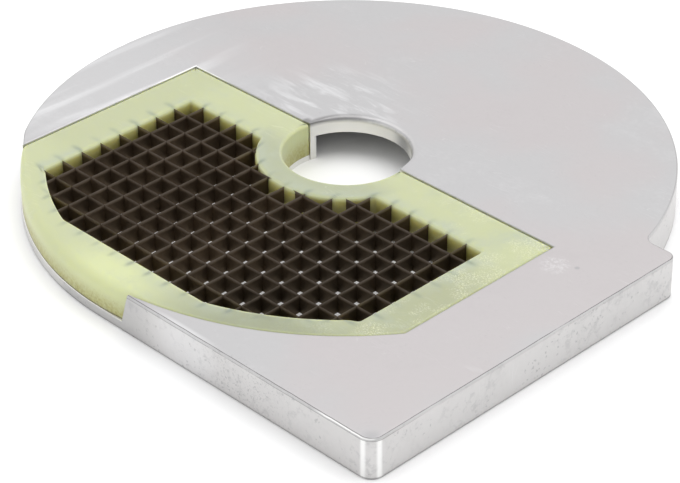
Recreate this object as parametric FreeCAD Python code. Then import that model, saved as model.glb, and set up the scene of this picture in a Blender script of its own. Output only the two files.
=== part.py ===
import FreeCAD, Part
import math
import os

from FreeCAD import Vector

# Dicing grid of a vegetable cutting machine, in millimetres. The origin lies on the axis of the bore
# in the plane that the grid rests on. +Z points up to the cutting edges, and X runs along the
# straight side of the plastic frame.

# Cast aluminium body
DISC_RADIUS = 106.8
HEIGHT = 14.0
CASTING_DRAFT = 0.15
PLATE = 5.5
RIM_WALL = 3.6
WEB_WALL = 2.2
FLOOR = 2.0
LEDGE_HEIGHT = 3.3
LEDGE_WIDTH = 2.6
BORE_RADIUS = 21.0
BORE_LIP_RADIUS = 1.2
CORE_CORNER_RADIUS = 2.5

# Square block beside the disc, which keeps the grid from turning in the machine
BLOCK_REACH = 9.3
BLOCK_SETBACK = 0.95
BLOCK_END_Y = 26.0
BLOCK_FRONT_CORNER_RADIUS = 4.5
BLOCK_BACK_CORNER_RADIUS = 3.5
BLOCK_NECK_RADIUS = 4.0
BLOCK_TIP_X = 13.4
TOP_EDGE_CHAMFER = 0.6
BOTTOM_EDGE_CHAMFER = 0.5

# Moulded plastic frame, let into the body
FRAME_LEFT_X = -76.9
FRAME_RIGHT_X = 85.75
FRAME_STRAIGHT_Y = 3.3
FRAME_ARC_INSET = 1.2
FRAME_CLEARANCE = 0.25
FRAME_SINK = 0.25
FRAME_OUTER_EDGE_RADIUS = 4.0
FRAME_CORNER_RADIUS = 1.2
FRAME_EDGE_CHAMFER = 0.7
POCKET_EDGE_CHAMFER = 0.3

# Walls of the frame round the opening that the diced pieces fall through
LEFT_WALL = 16.3
RIGHT_WALL = 14.15
FAR_WALL = 17.0
ARC_WALL = 8.2
NEAR_FLAT_DEPTH = 5.55
BOSS_WALL = 8.8
OPENING_CORNER_RADIUS = 1.0
FLOOR_SETBACK = 1.2

# Blade strips
PITCH = 8.0
BLADE_THICKNESS = 0.6
BLADE_DEPTH = 6.1
BLADE_COVER = 0.45
BEVEL_HEIGHT = 1.0
CROSS_FIRST_GAP = 6.0
CROSS_EMBED = 4.8
LONG_FIRST_GAP = 7.15
LONG_EMBED = 6.5
LEAST_GAP = 3.0

# Places worked out from the sizes above
BLOCK_SIDE_X = DISC_RADIUS + BLOCK_REACH
BLOCK_SIDE_Y = BLOCK_SETBACK - DISC_RADIUS
FRAME_ARC_RADIUS = DISC_RADIUS - FRAME_ARC_INSET
OPENING_LEFT_X = FRAME_LEFT_X + LEFT_WALL
OPENING_RIGHT_X = FRAME_RIGHT_X - RIGHT_WALL
OPENING_FAR_Y = FRAME_STRAIGHT_Y - FAR_WALL
OPENING_ARC_RADIUS = FRAME_ARC_RADIUS - ARC_WALL
OPENING_NEAR_Y = NEAR_FLAT_DEPTH - OPENING_ARC_RADIUS
BOSS_RADIUS = BORE_RADIUS + BOSS_WALL
FRAME_TOP = HEIGHT - FRAME_SINK
BLADE_TOP = FRAME_TOP - BLADE_COVER
BLADE_BOTTOM = BLADE_TOP - BLADE_DEPTH
LAP = BLADE_BOTTOM + BLADE_DEPTH / 2
POCKET_ARC_RADIUS = FRAME_ARC_RADIUS + FRAME_CLEARANCE
LEDGE_RADIUS = -BLOCK_SIDE_Y
LEDGE_INNER_RADIUS = LEDGE_RADIUS - LEDGE_WIDTH
OVERRUN = 2.0
CORNER_REACH = 3.0
TOLERANCE = 1e-4
START_ANGLE = 2.0


def on_arc(radius, offset):
    """Distance from the centre line at which an arc of this radius lies that far off the axis."""
    return math.sqrt(radius * radius - offset * offset)


def cylinder(radius, low, high):
    """Upright cylinder on the bore axis."""
    return Part.makeCylinder(radius, high - low, Vector(0, 0, low))


def box(x_low, x_high, y_low, y_high, low, high):
    """Box between two corners."""
    return Part.makeBox(x_high - x_low, y_high - y_low, high - low, Vector(x_low, y_low, low))


def prism(face, low, high):
    """Plan face in the plane z = 0, raised between two heights."""
    solid = face.extrude(Vector(0, 0, high - low))
    solid.translate(Vector(0, 0, low))
    return solid


def line(start, end):
    """Straight edge in the plan."""
    return Part.LineSegment(Vector(*start, 0), Vector(*end, 0)).toShape()


def lower_arc(radius, start, end):
    """Arc about the bore axis between two points of its lower half."""
    middle = math.atan2(start[1] + end[1], start[0] + end[0])
    through = Vector(radius * math.cos(middle), radius * math.sin(middle), 0)
    return Part.Arc(Vector(*start, 0), through, Vector(*end, 0)).toShape()


def rounded_prism(face, low, high, radius):
    """Plan face raised between two heights, with its corners rounded apart from those on the boss."""
    solid = prism(face, low, high)
    corners = []
    for edge in solid.Edges:
        bounds = edge.BoundBox
        if bounds.ZLength > TOLERANCE and math.hypot(bounds.Center.x, bounds.Center.y) > BOSS_RADIUS + OVERRUN:
            corners.append(edge)
    return solid.makeFillet(radius, corners)


def frame_outline(margin):
    """Plan of the plastic frame, grown by a margin all round."""
    left = FRAME_LEFT_X - margin
    right = FRAME_RIGHT_X + margin
    straight = FRAME_STRAIGHT_Y + margin
    arc = FRAME_ARC_RADIUS + margin
    right_end = (right, -on_arc(arc, right))
    left_end = (left, -on_arc(arc, left))
    edges = [
        line((left, straight), (right, straight)),
        line((right, straight), right_end),
        lower_arc(arc, right_end, left_end),
        line(left_end, (left, straight)),
    ]
    return Part.Face(Part.Wire(edges))


def frame_prism(margin, low, high):
    """Room that the plastic frame takes up between two heights, grown by a margin all round."""
    return rounded_prism(frame_outline(margin), low, high, FRAME_CORNER_RADIUS + margin)


def opening_outline(margin):
    """Plan of the opening inside the frame, grown by a margin all round."""
    left = OPENING_LEFT_X - margin
    right = OPENING_RIGHT_X + margin
    far = OPENING_FAR_Y + margin
    near = OPENING_NEAR_Y - margin
    arc = OPENING_ARC_RADIUS + margin
    boss = BOSS_RADIUS - margin
    boss_x = on_arc(boss, far)
    right_end = (right, -on_arc(arc, right))
    left_end = (left, -on_arc(arc, left))
    near_x = on_arc(arc, near)
    edges = [
        line((left, far), (-boss_x, far)),
        lower_arc(boss, (-boss_x, far), (boss_x, far)),
        line((boss_x, far), (right, far)),
        line((right, far), right_end),
        lower_arc(arc, right_end, (near_x, near)),
        line((near_x, near), (-near_x, near)),
        lower_arc(arc, (-near_x, near), left_end),
        line(left_end, (left, far)),
    ]
    return Part.Face(Part.Wire(edges))


def opening_prism(margin, low, high):
    """Opening inside the frame between two heights, grown by a margin all round."""
    return rounded_prism(opening_outline(margin), low, high, OPENING_CORNER_RADIUS + margin)


def level_edges(solid, height):
    """Edges of a solid that lie flat at one height."""
    found = []
    for edge in solid.Edges:
        middle = edge.valueAt((edge.FirstParameter + edge.LastParameter) / 2)
        heights = [vertex.Z for vertex in edge.Vertexes] + [middle.z]
        if all(abs(one - height) < TOLERANCE for one in heights):
            found.append(edge)
    return found


def upright_edges(solid, corner_x, corner_y):
    """Edges of a solid that run upwards close to a corner of the plan."""
    found = []
    for edge in solid.Edges:
        centre = edge.BoundBox.Center
        tall = edge.BoundBox.ZLength > HEIGHT / 2
        if tall and math.hypot(centre.x - corner_x, centre.y - corner_y) < CORNER_REACH:
            found.append(edge)
    return found


def lip_cutter(radius, rounding, top):
    """Ring that rounds the upper rim of a hole when it is cut away."""
    centre = Vector(radius + rounding, 0, top - rounding)
    low = Vector(radius, 0, top - rounding)
    high = Vector(radius + rounding, 0, top)
    slant = rounding * math.sqrt(0.5)
    through = Vector(centre.x - slant, 0, centre.z + slant)
    inner = radius - rounding
    profile = Part.Wire([
        Part.Arc(low, through, high).toShape(),
        Part.LineSegment(high, Vector(radius + rounding, 0, top + OVERRUN)).toShape(),
        Part.LineSegment(Vector(radius + rounding, 0, top + OVERRUN), Vector(inner, 0, top + OVERRUN)).toShape(),
        Part.LineSegment(Vector(inner, 0, top + OVERRUN), Vector(inner, 0, top - rounding)).toShape(),
        Part.LineSegment(Vector(inner, 0, top - rounding), low).toShape(),
    ])
    return Part.Face(profile).revolve(Vector(0, 0, 0), Vector(0, 0, 1), 360)


def rim_cutter(radius, rounding, top, first_angle, sweep):
    """Part ring that rounds the upper rim of a disc over some degrees when it is cut away."""
    low = Vector(radius, 0, top - rounding)
    high = Vector(radius - rounding, 0, top)
    slant = rounding * math.sqrt(0.5)
    through = Vector(radius - rounding + slant, 0, top - rounding + slant)
    outer = radius + OVERRUN
    profile = Part.Wire([
        Part.Arc(low, through, high).toShape(),
        Part.LineSegment(high, Vector(radius - rounding, 0, top + OVERRUN)).toShape(),
        Part.LineSegment(Vector(radius - rounding, 0, top + OVERRUN), Vector(outer, 0, top + OVERRUN)).toShape(),
        Part.LineSegment(Vector(outer, 0, top + OVERRUN), Vector(outer, 0, top - rounding)).toShape(),
        Part.LineSegment(Vector(outer, 0, top - rounding), low).toShape(),
    ])
    ring = Part.Face(profile).revolve(Vector(0, 0, 0), Vector(0, 0, 1), sweep)
    ring.rotate(Vector(0, 0, 0), Vector(0, 0, 1), first_angle)
    return ring


def drafted_block():
    """Square block whose three outer sides lean out towards the resting plane."""
    wedge = Part.makeWedge(
        0, 0, -BLOCK_END_Y - CASTING_DRAFT, -BLOCK_END_Y, 0,
        BLOCK_SIDE_X + CASTING_DRAFT, HEIGHT, -BLOCK_SIDE_Y + CASTING_DRAFT, -BLOCK_SIDE_Y, BLOCK_SIDE_X,
    )
    wedge.rotate(Vector(0, 0, 0), Vector(1, 0, 0), 90)
    return wedge


def open_side(x_high, low, high):
    """Room on the near side of the disc where the frame's arc stands free, up to a place in X."""
    return box(
        FRAME_LEFT_X - FRAME_CLEARANCE, x_high,
        -DISC_RADIUS - OVERRUN, -on_arc(FRAME_ARC_RADIUS, FRAME_LEFT_X) + OVERRUN, low, high,
    )


def outer_form():
    """Disc and block as one solid with its edges broken, before it is cored out."""
    disc = Part.makeCone(DISC_RADIUS + CASTING_DRAFT, DISC_RADIUS, HEIGHT)
    ledge = Part.makeCone(LEDGE_RADIUS + CASTING_DRAFT, LEDGE_RADIUS, HEIGHT)
    disc = disc.cut(open_side(BLOCK_SIDE_X, 0, HEIGHT).cut(ledge))
    solid = disc.fuse(drafted_block()).removeSplitter()
    corners = [
        (BLOCK_FRONT_CORNER_RADIUS, BLOCK_SIDE_X, BLOCK_SIDE_Y),
        (BLOCK_BACK_CORNER_RADIUS, BLOCK_SIDE_X, BLOCK_END_Y),
        (BLOCK_NECK_RADIUS, on_arc(DISC_RADIUS, BLOCK_END_Y), BLOCK_END_Y),
    ]
    for radius, x, y in corners:
        solid = solid.makeFillet(radius, upright_edges(solid, x, y))
    solid = solid.makeChamfer(TOP_EDGE_CHAMFER, level_edges(solid, HEIGHT))
    return solid.makeChamfer(BOTTOM_EDGE_CHAMFER, level_edges(solid, 0))


def core_outline():
    """Plan of the hollow under the plate: inside the rim wall and outside the wall of the pocket."""
    disc = Part.Face(Part.Wire(Part.makeCircle(DISC_RADIUS - RIM_WALL)))
    block = Part.makePlane(
        BLOCK_SIDE_X - RIM_WALL, BLOCK_END_Y - BLOCK_SIDE_Y - 2 * RIM_WALL, Vector(0, BLOCK_SIDE_Y + RIM_WALL, 0)
    )
    inside = disc.fuse(block).removeSplitter()
    core = inside.cut(frame_outline(FRAME_CLEARANCE + WEB_WALL))
    largest = max(core.Faces, key=lambda face: face.Area)
    return largest.makeOffset2D(-CORE_CORNER_RADIUS).makeOffset2D(CORE_CORNER_RADIUS)


def pocket_flare(above):
    """Cutter with sloped sides that breaks the upper edge of the pocket."""
    start = HEIGHT - POCKET_EDGE_CHAMFER
    flare = frame_prism(FRAME_CLEARANCE + POCKET_EDGE_CHAMFER, start, above)
    return flare.makeChamfer(POCKET_EDGE_CHAMFER, level_edges(flare, start))


def build_body():
    """Aluminium casting: a hollow disc with a block, a pocket for the frame and a bore."""
    body = outer_form()
    body = body.cut(prism(core_outline(), -OVERRUN, HEIGHT - PLATE))
    above = HEIGHT + OVERRUN
    body = body.cut(frame_prism(FRAME_CLEARANCE, LEDGE_HEIGHT, above)).cut(pocket_flare(above))
    sunk = frame_prism(FRAME_CLEARANCE, FLOOR, above).common(cylinder(LEDGE_INNER_RADIUS, FLOOR, above))
    body = body.cut(sunk)
    outside = open_side(BLOCK_TIP_X, LEDGE_HEIGHT, above)
    body = body.cut(outside.cut(cylinder(LEDGE_INNER_RADIUS, 0, above + OVERRUN)))
    body = body.cut(opening_prism(FLOOR_SETBACK, -OVERRUN, FLOOR + OVERRUN))
    body = body.cut(cylinder(BORE_RADIUS, -OVERRUN, above))
    return body.cut(lip_cutter(BORE_RADIUS, BORE_LIP_RADIUS, HEIGHT))


def blade_section(along_x):
    """Closed outline of a strip with a bevelled upper edge, across its length."""
    half = BLADE_THICKNESS / 2
    shoulder = BLADE_TOP - BEVEL_HEIGHT
    points = [(-half, BLADE_BOTTOM), (half, BLADE_BOTTOM), (half, shoulder), (0, BLADE_TOP), (-half, shoulder)]
    if along_x:
        corners = [Vector(0, across, up) for across, up in points]
    else:
        corners = [Vector(across, 0, up) for across, up in points]
    return Part.Face(Part.makePolygon(corners + corners[:1]))


def cross_lines():
    """Places in X of the blades that run along Y."""
    first = OPENING_LEFT_X + CROSS_FIRST_GAP
    count = int((OPENING_RIGHT_X - LEAST_GAP - first) / PITCH) + 1
    return [first + PITCH * number for number in range(count)]


def long_lines():
    """Places in Y of the blades that run along X."""
    first = OPENING_FAR_Y - LONG_FIRST_GAP
    count = int((first - OPENING_NEAR_Y - LEAST_GAP) / PITCH) + 1
    return [first - PITCH * number for number in range(count)]


def cross_span(x):
    """Near and far ends of the blade that runs along Y at this X, sunk in the plastic."""
    far = OPENING_FAR_Y
    if abs(x) < BOSS_RADIUS:
        far = min(far, -on_arc(BOSS_RADIUS, x))
    near = max(OPENING_NEAR_Y, -on_arc(OPENING_ARC_RADIUS, x))
    return near - CROSS_EMBED, far + CROSS_EMBED


def long_spans(y):
    """Left and right ends of each strip of the blade line that runs along X at this Y."""
    left = max(OPENING_LEFT_X, -on_arc(OPENING_ARC_RADIUS, y)) - LONG_EMBED
    right = min(OPENING_RIGHT_X, on_arc(OPENING_ARC_RADIUS, y)) + LONG_EMBED
    core_radius = BOSS_RADIUS - CROSS_EMBED
    if abs(y) >= core_radius:
        return [(left, right)]
    stop = on_arc(core_radius, y)
    return [(left, -stop), (stop, right)]


def overlaps(place, low, high):
    """Whether a strip that stands at this place touches the stretch between two ends."""
    half = BLADE_THICKNESS / 2
    return low - half < place < high + half


def build_cross_blade(x):
    """Strip along Y, slotted from above where the long blades cross it."""
    near, far = cross_span(x)
    blade = blade_section(False).extrude(Vector(0, far - near, 0))
    blade.translate(Vector(x, near, 0))
    half = BLADE_THICKNESS / 2
    slots = []
    for y in long_lines():
        met = any(overlaps(x, left, right) for left, right in long_spans(y))
        if met and overlaps(y, near, far):
            slots.append(box(x - OVERRUN, x + OVERRUN, y - half, y + half, LAP, BLADE_TOP + OVERRUN))
    return blade.cut(Part.makeCompound(slots))


def build_long_blade(y, left, right):
    """Strip along X, slotted from below where the cross blades stand in it."""
    blade = blade_section(True).extrude(Vector(right - left, 0, 0))
    blade.translate(Vector(left, y, 0))
    half = BLADE_THICKNESS / 2
    slots = []
    for x in cross_lines():
        near, far = cross_span(x)
        if overlaps(x, left, right) and overlaps(y, near, far):
            slots.append(box(x - half, x + half, y - OVERRUN, y + OVERRUN, BLADE_BOTTOM - OVERRUN, LAP))
    return blade.cut(Part.makeCompound(slots))


def build_frame(blades):
    """Plastic frame with the opening, moulded round the ends of the blades."""
    frame = frame_prism(0, LEDGE_HEIGHT, FRAME_TOP)
    lower_radius = LEDGE_INNER_RADIUS - FRAME_CLEARANCE
    lower = frame_prism(0, FLOOR, LEDGE_HEIGHT).common(cylinder(lower_radius, 0, HEIGHT))
    frame = frame.fuse(lower)
    frame = frame.cut(opening_prism(0, 0, HEIGHT + OVERRUN))
    frame = frame.makeChamfer(FRAME_EDGE_CHAMFER, level_edges(frame, FRAME_TOP))
    frame = frame.cut(cylinder(BORE_RADIUS, 0, HEIGHT + OVERRUN))
    start = math.degrees(math.atan2(-on_arc(FRAME_ARC_RADIUS, FRAME_LEFT_X), FRAME_LEFT_X)) % 360 - START_ANGLE
    stop = math.degrees(math.atan2(-on_arc(FRAME_ARC_RADIUS, BLOCK_TIP_X), BLOCK_TIP_X)) % 360
    frame = frame.cut(rim_cutter(FRAME_ARC_RADIUS, FRAME_OUTER_EDGE_RADIUS, FRAME_TOP, start, stop - start))
    return frame.cut(Part.makeCompound(blades))


def build_all():
    """Every sub-part of the grid, by name."""
    blades = {}
    for number, x in enumerate(cross_lines(), 1):
        blades["cross_blade_%02d" % number] = build_cross_blade(x)
    for number, y in enumerate(long_lines(), 1):
        spans = long_spans(y)
        sides = ("_left", "_right") if len(spans) == 2 else ("",)
        for side, (left, right) in zip(sides, spans):
            blades["long_blade_%02d%s" % (number, side)] = build_long_blade(y, left, right)
    parts = {"cast_body": build_body(), "plastic_frame": build_frame(list(blades.values()))}
    parts.update(blades)
    return parts


os.makedirs("parts", exist_ok=True)
for name, shape in build_all().items():
    shape.exportStep("parts/%s.step" % name)
    print(name, "solids", len(shape.Solids), "volume", round(shape.Volume / 1000, 3), "cm3")
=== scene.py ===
"""Looks of a dicing grid for a vegetable cutting machine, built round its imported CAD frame.

Lengths inside the classes are millimetres in the row frame: the origin on the bore's axis in the resting
plane, Z up to the cutting edges, X along the straight side of the plastic frame. A mesh is scaled to metres
when it is made. Every new surface is a grid of two parameters: a station along a closed or open path in the
plan, and a place along the section that is carried round it.
"""
from __future__ import annotations

import logging
import math
from dataclasses import dataclass
from enum import Enum

import bmesh
import bpy
import numpy as np
from mathutils import Matrix, Vector


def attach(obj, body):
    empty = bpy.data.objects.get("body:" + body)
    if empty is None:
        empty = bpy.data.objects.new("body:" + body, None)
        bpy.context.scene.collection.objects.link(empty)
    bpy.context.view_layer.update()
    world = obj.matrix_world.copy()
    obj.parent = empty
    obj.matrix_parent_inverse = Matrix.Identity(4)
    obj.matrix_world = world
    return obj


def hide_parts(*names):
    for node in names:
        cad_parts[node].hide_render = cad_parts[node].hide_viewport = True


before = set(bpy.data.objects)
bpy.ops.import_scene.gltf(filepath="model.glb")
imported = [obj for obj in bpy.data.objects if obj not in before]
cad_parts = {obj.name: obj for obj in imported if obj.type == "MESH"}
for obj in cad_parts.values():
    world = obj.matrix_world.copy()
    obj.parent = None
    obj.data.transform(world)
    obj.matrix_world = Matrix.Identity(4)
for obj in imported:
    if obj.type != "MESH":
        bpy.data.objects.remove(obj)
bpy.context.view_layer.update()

MM = 0.001
LOG = logging.getLogger("dicing_grid")
Points = np.ndarray
Nodes = bpy.types.NodeTree


class Finish(Enum):
    """Material slots of the record, which every piece takes its finish from."""

    ALUMINIUM = "cast_aluminium"
    PLASTIC = "frame_plastic"
    STEEL = "blade_steel"


class Mask(Enum):
    """Vertex attributes that the surfaces carry for their materials. Distances are in millimetres."""

    BLADE_ENDS = "blade_ends"
    OUTER_EDGE = "outer_edge_distance"
    INNER_EDGE = "inner_edge_distance"
    ON_WALL = "on_wall"


# Plan curves, as arrays of points


def straight(start: tuple[float, float], end: tuple[float, float], steps: int) -> Points:
    """Evenly spaced points of a straight run, without its last one.

    Args:
        start: first end in the plan.
        end: last end, which the next stretch begins with.
        steps: number of points.

    Returns:
        Array of steps by 2: start + (end - start) t, with t from 0 up to 1.
    """
    share = np.arange(steps)[:, None] / steps
    return np.asarray(start, float) + (np.asarray(end, float) - np.asarray(start, float)) * share


def arc(centre: tuple[float, float], radius: float, first: float, last: float, steps: int) -> Points:
    """Evenly spaced points of an arc, without its last one.

    Args:
        centre: middle of the circle in the plan.
        radius: its radius.
        first: angle of the first point in degrees, from +X towards +Y.
        last: angle that the next stretch begins with.
        steps: number of points.

    Returns:
        Array of steps by 2: centre + radius (cos a, sin a), with a from first up to last.
    """
    angle = np.radians(first + (last - first) * np.arange(steps) / steps)
    return np.asarray(centre, float) + radius * np.stack([np.cos(angle), np.sin(angle)], 1)


def on_arc(radius: float, offset: float) -> float:
    """Distance from the centre line at which an arc of this radius lies that far off the axis."""
    return math.sqrt(radius * radius - offset * offset)


def angle_of(x: float, y: float) -> float:
    """Angle of a point of the plan in degrees, from +X towards +Y."""
    return math.degrees(math.atan2(y, x))


def soften(path: Points, reach: int, closed: bool) -> Points:
    """Rounds the corners of a path by a short running mean over its points.

    Args:
        path: points of the path.
        reach: number of neighbours on each side that share in the mean, with a bell of weights.
        closed: whether the path joins up with itself.

    Returns:
        The path with each point moved to sum(w_k p_(i+k)) / sum(w_k), where w_k = 1 + cos(pi k / (reach + 1)).
    """
    shifts = np.arange(-reach, reach + 1)
    weights = 1 + np.cos(np.pi * shifts / (reach + 1))
    count = len(path)
    index = np.arange(count)[:, None] + shifts[None, :]
    index = index % count if closed else np.clip(index, 0, count - 1)
    mean = (path[index] * weights[None, :, None]).sum(1) / weights.sum()
    if not closed:
        edge = np.minimum(np.arange(count), np.arange(count)[::-1])
        held = np.clip(edge / (reach + 1), 0, 1)[:, None]
        mean = path + (mean - path) * held
    return mean


def side_normals(path: Points, closed: bool, left: bool) -> Points:
    """Unit normals of a path in the plan.

    Args:
        path: points of the path.
        closed: whether it joins up with itself.
        left: True for the normal on the left of the way along, False for the right.

    Returns:
        The central difference of the points, turned by a quarter and made one long.
    """
    if closed:
        along = np.roll(path, -1, 0) - np.roll(path, 1, 0)
    else:
        along = np.gradient(path, axis=0)
    turned = np.stack([-along[:, 1], along[:, 0]], 1) * (1 if left else -1)
    return turned / np.maximum(np.linalg.norm(turned, axis=1, keepdims=True), 1e-9)


def smoothstep(low: float, high: float, value: Points) -> Points:
    """Rise from 0 at low to 1 at high: t t (3 - 2 t), with t held between 0 and 1."""
    share = np.clip((value - low) / (high - low), 0, 1)
    return share * share * (3 - 2 * share)


def grid_faces(stations: int, places: int, around: bool, closed_section: bool) -> Points:
    """Four-sided faces of a grid of points.

    Args:
        stations: number of sections along the path.
        places: number of points in each section.
        around: whether the last section joins the first.
        closed_section: whether the last point of a section joins its first.

    Returns:
        Array of faces by 4 vertex numbers, station-major.
    """
    rows = np.arange(stations if around else stations - 1)
    columns = np.arange(places if closed_section else places - 1)
    row, column = np.meshgrid(rows, columns, indexing="ij")
    next_row = (row + 1) % stations
    next_column = (column + 1) % places
    corners = [
        row * places + column,
        next_row * places + column,
        next_row * places + next_column,
        row * places + next_column,
    ]
    return np.stack([corner.ravel() for corner in corners], 1)


def make_piece(name: str, points: Points, faces: Points, node: str | None) -> bpy.types.Object:
    """Makes a mesh object of a worked-out surface and lets it ride on the grid's body.

    Args:
        name: name of the piece.
        points: vertices in millimetres.
        faces: vertex numbers of its four-sided faces.
        node: CAD node that it stands for, if any.

    Returns:
        The object, at the origin.
    """
    mesh = bpy.data.meshes.new(name)
    mesh.from_pydata((points * MM).tolist(), [], faces.tolist())
    mesh.update()
    piece = bpy.data.objects.new(name, mesh)
    bpy.context.scene.collection.objects.link(piece)
    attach(piece, "root")
    if node is not None:
        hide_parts(node)
    return piece


def close_seams(piece: bpy.types.Object, sharp_angle: float) -> None:
    """Merges points that fall together, drops faces without area and marks the sharp edges.

    Args:
        piece: mesh object whose attributes are already stored.
        sharp_angle: least angle in degrees between two faces with a sharp edge.
    """
    mesh = piece.data
    work = bmesh.new()
    work.from_mesh(mesh)
    bmesh.ops.remove_doubles(work, verts=work.verts, dist=0.000002)
    bmesh.ops.dissolve_degenerate(work, edges=work.edges, dist=0.000001)
    work.to_mesh(mesh)
    work.free()
    mesh.polygons.foreach_set("use_smooth", np.ones(len(mesh.polygons), bool))
    mesh.set_sharp_from_angle(angle=math.radians(sharp_angle))


def store(piece: bpy.types.Object, mask: Mask, values: Points) -> None:
    """Keeps one number for each vertex of a piece, for its material to read."""
    attribute = piece.data.attributes.new(mask.value, "FLOAT", "POINT")
    attribute.data.foreach_set("value", values.astype(np.float32))


def outward(points: Points, faces: Points) -> Points:
    """Turns all the faces of a closed surface so that they point outwards.

    Args:
        points: vertices.
        faces: vertex numbers of its four-sided faces.

    Returns:
        The faces, reversed if the volume that they enclose, the sum of a . (b x c) / 6, is negative.
    """
    total = 0.0
    for first, second, third in ((0, 1, 2), (0, 2, 3)):
        a = points[faces[:, first]]
        b = points[faces[:, second]]
        c = points[faces[:, third]]
        total += (a * np.cross(b, c)).sum() / 6
    return faces if total > 0 else faces[:, ::-1]


class Rows:
    """Collects the places of a section, one row of stations after another, with their edge distances."""

    def __init__(self, stations: int) -> None:
        """Starts without rows, for a path of this many stations."""
        self.stations = stations
        self.points: list[Points] = []
        self.outer_edge: list[Points] = []
        self.inner_edge: list[Points] = []
        self.on_wall: list[Points] = []

    def keep(self, flat: Points, height: object, outer: object, inner: object, wall: float) -> None:
        """Adds one row.

        Args:
            flat: stations by 2, the row's places in the plan.
            height: its height, one number or one for each station.
            outer: distance from the outer top edge, below zero down the wall.
            inner: distance from the inner top edge, below zero down the wall.
            wall: 1 on a wall or a rounding, 0 on the top.
        """
        full = (self.stations,)
        level = np.broadcast_to(np.asarray(height, float), full)
        self.points.append(np.concatenate([flat, level[:, None]], 1))
        self.outer_edge.append(np.broadcast_to(np.asarray(outer, float), full))
        self.inner_edge.append(np.broadcast_to(np.asarray(inner, float), full))
        self.on_wall.append(np.full(full, wall))

    def grid(self) -> Points:
        """Stations by places by 3."""
        return np.stack(self.points, 1)

    def masks(self) -> dict[Mask, Points]:
        """Edge distances and wall share, station-major as the grid's points are."""
        columns = {
            Mask.OUTER_EDGE: self.outer_edge,
            Mask.INNER_EDGE: self.inner_edge,
            Mask.ON_WALL: self.on_wall,
        }
        return {mask: np.stack(column, 1).ravel() for mask, column in columns.items()}


FAR_OFF = 30.0


# Shader groups that several finishes share


def new_group(name: str, inputs: dict[str, float], outputs: dict[str, str]) -> tuple[Nodes, bpy.types.Node, bpy.types.Node]:
    """Starts a shader node group.

    Args:
        name: name of the group.
        inputs: name and default of each number that it takes.
        outputs: name and socket type of each result.

    Returns:
        The group, its input node and its output node.
    """
    group = bpy.data.node_groups.new(name, "ShaderNodeTree")
    for label, default in inputs.items():
        socket = group.interface.new_socket(name=label, in_out="INPUT", socket_type="NodeSocketFloat")
        socket.default_value = default
    for label, kind in outputs.items():
        group.interface.new_socket(name=label, in_out="OUTPUT", socket_type=kind)
    return group, group.nodes.new("NodeGroupInput"), group.nodes.new("NodeGroupOutput")


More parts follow.
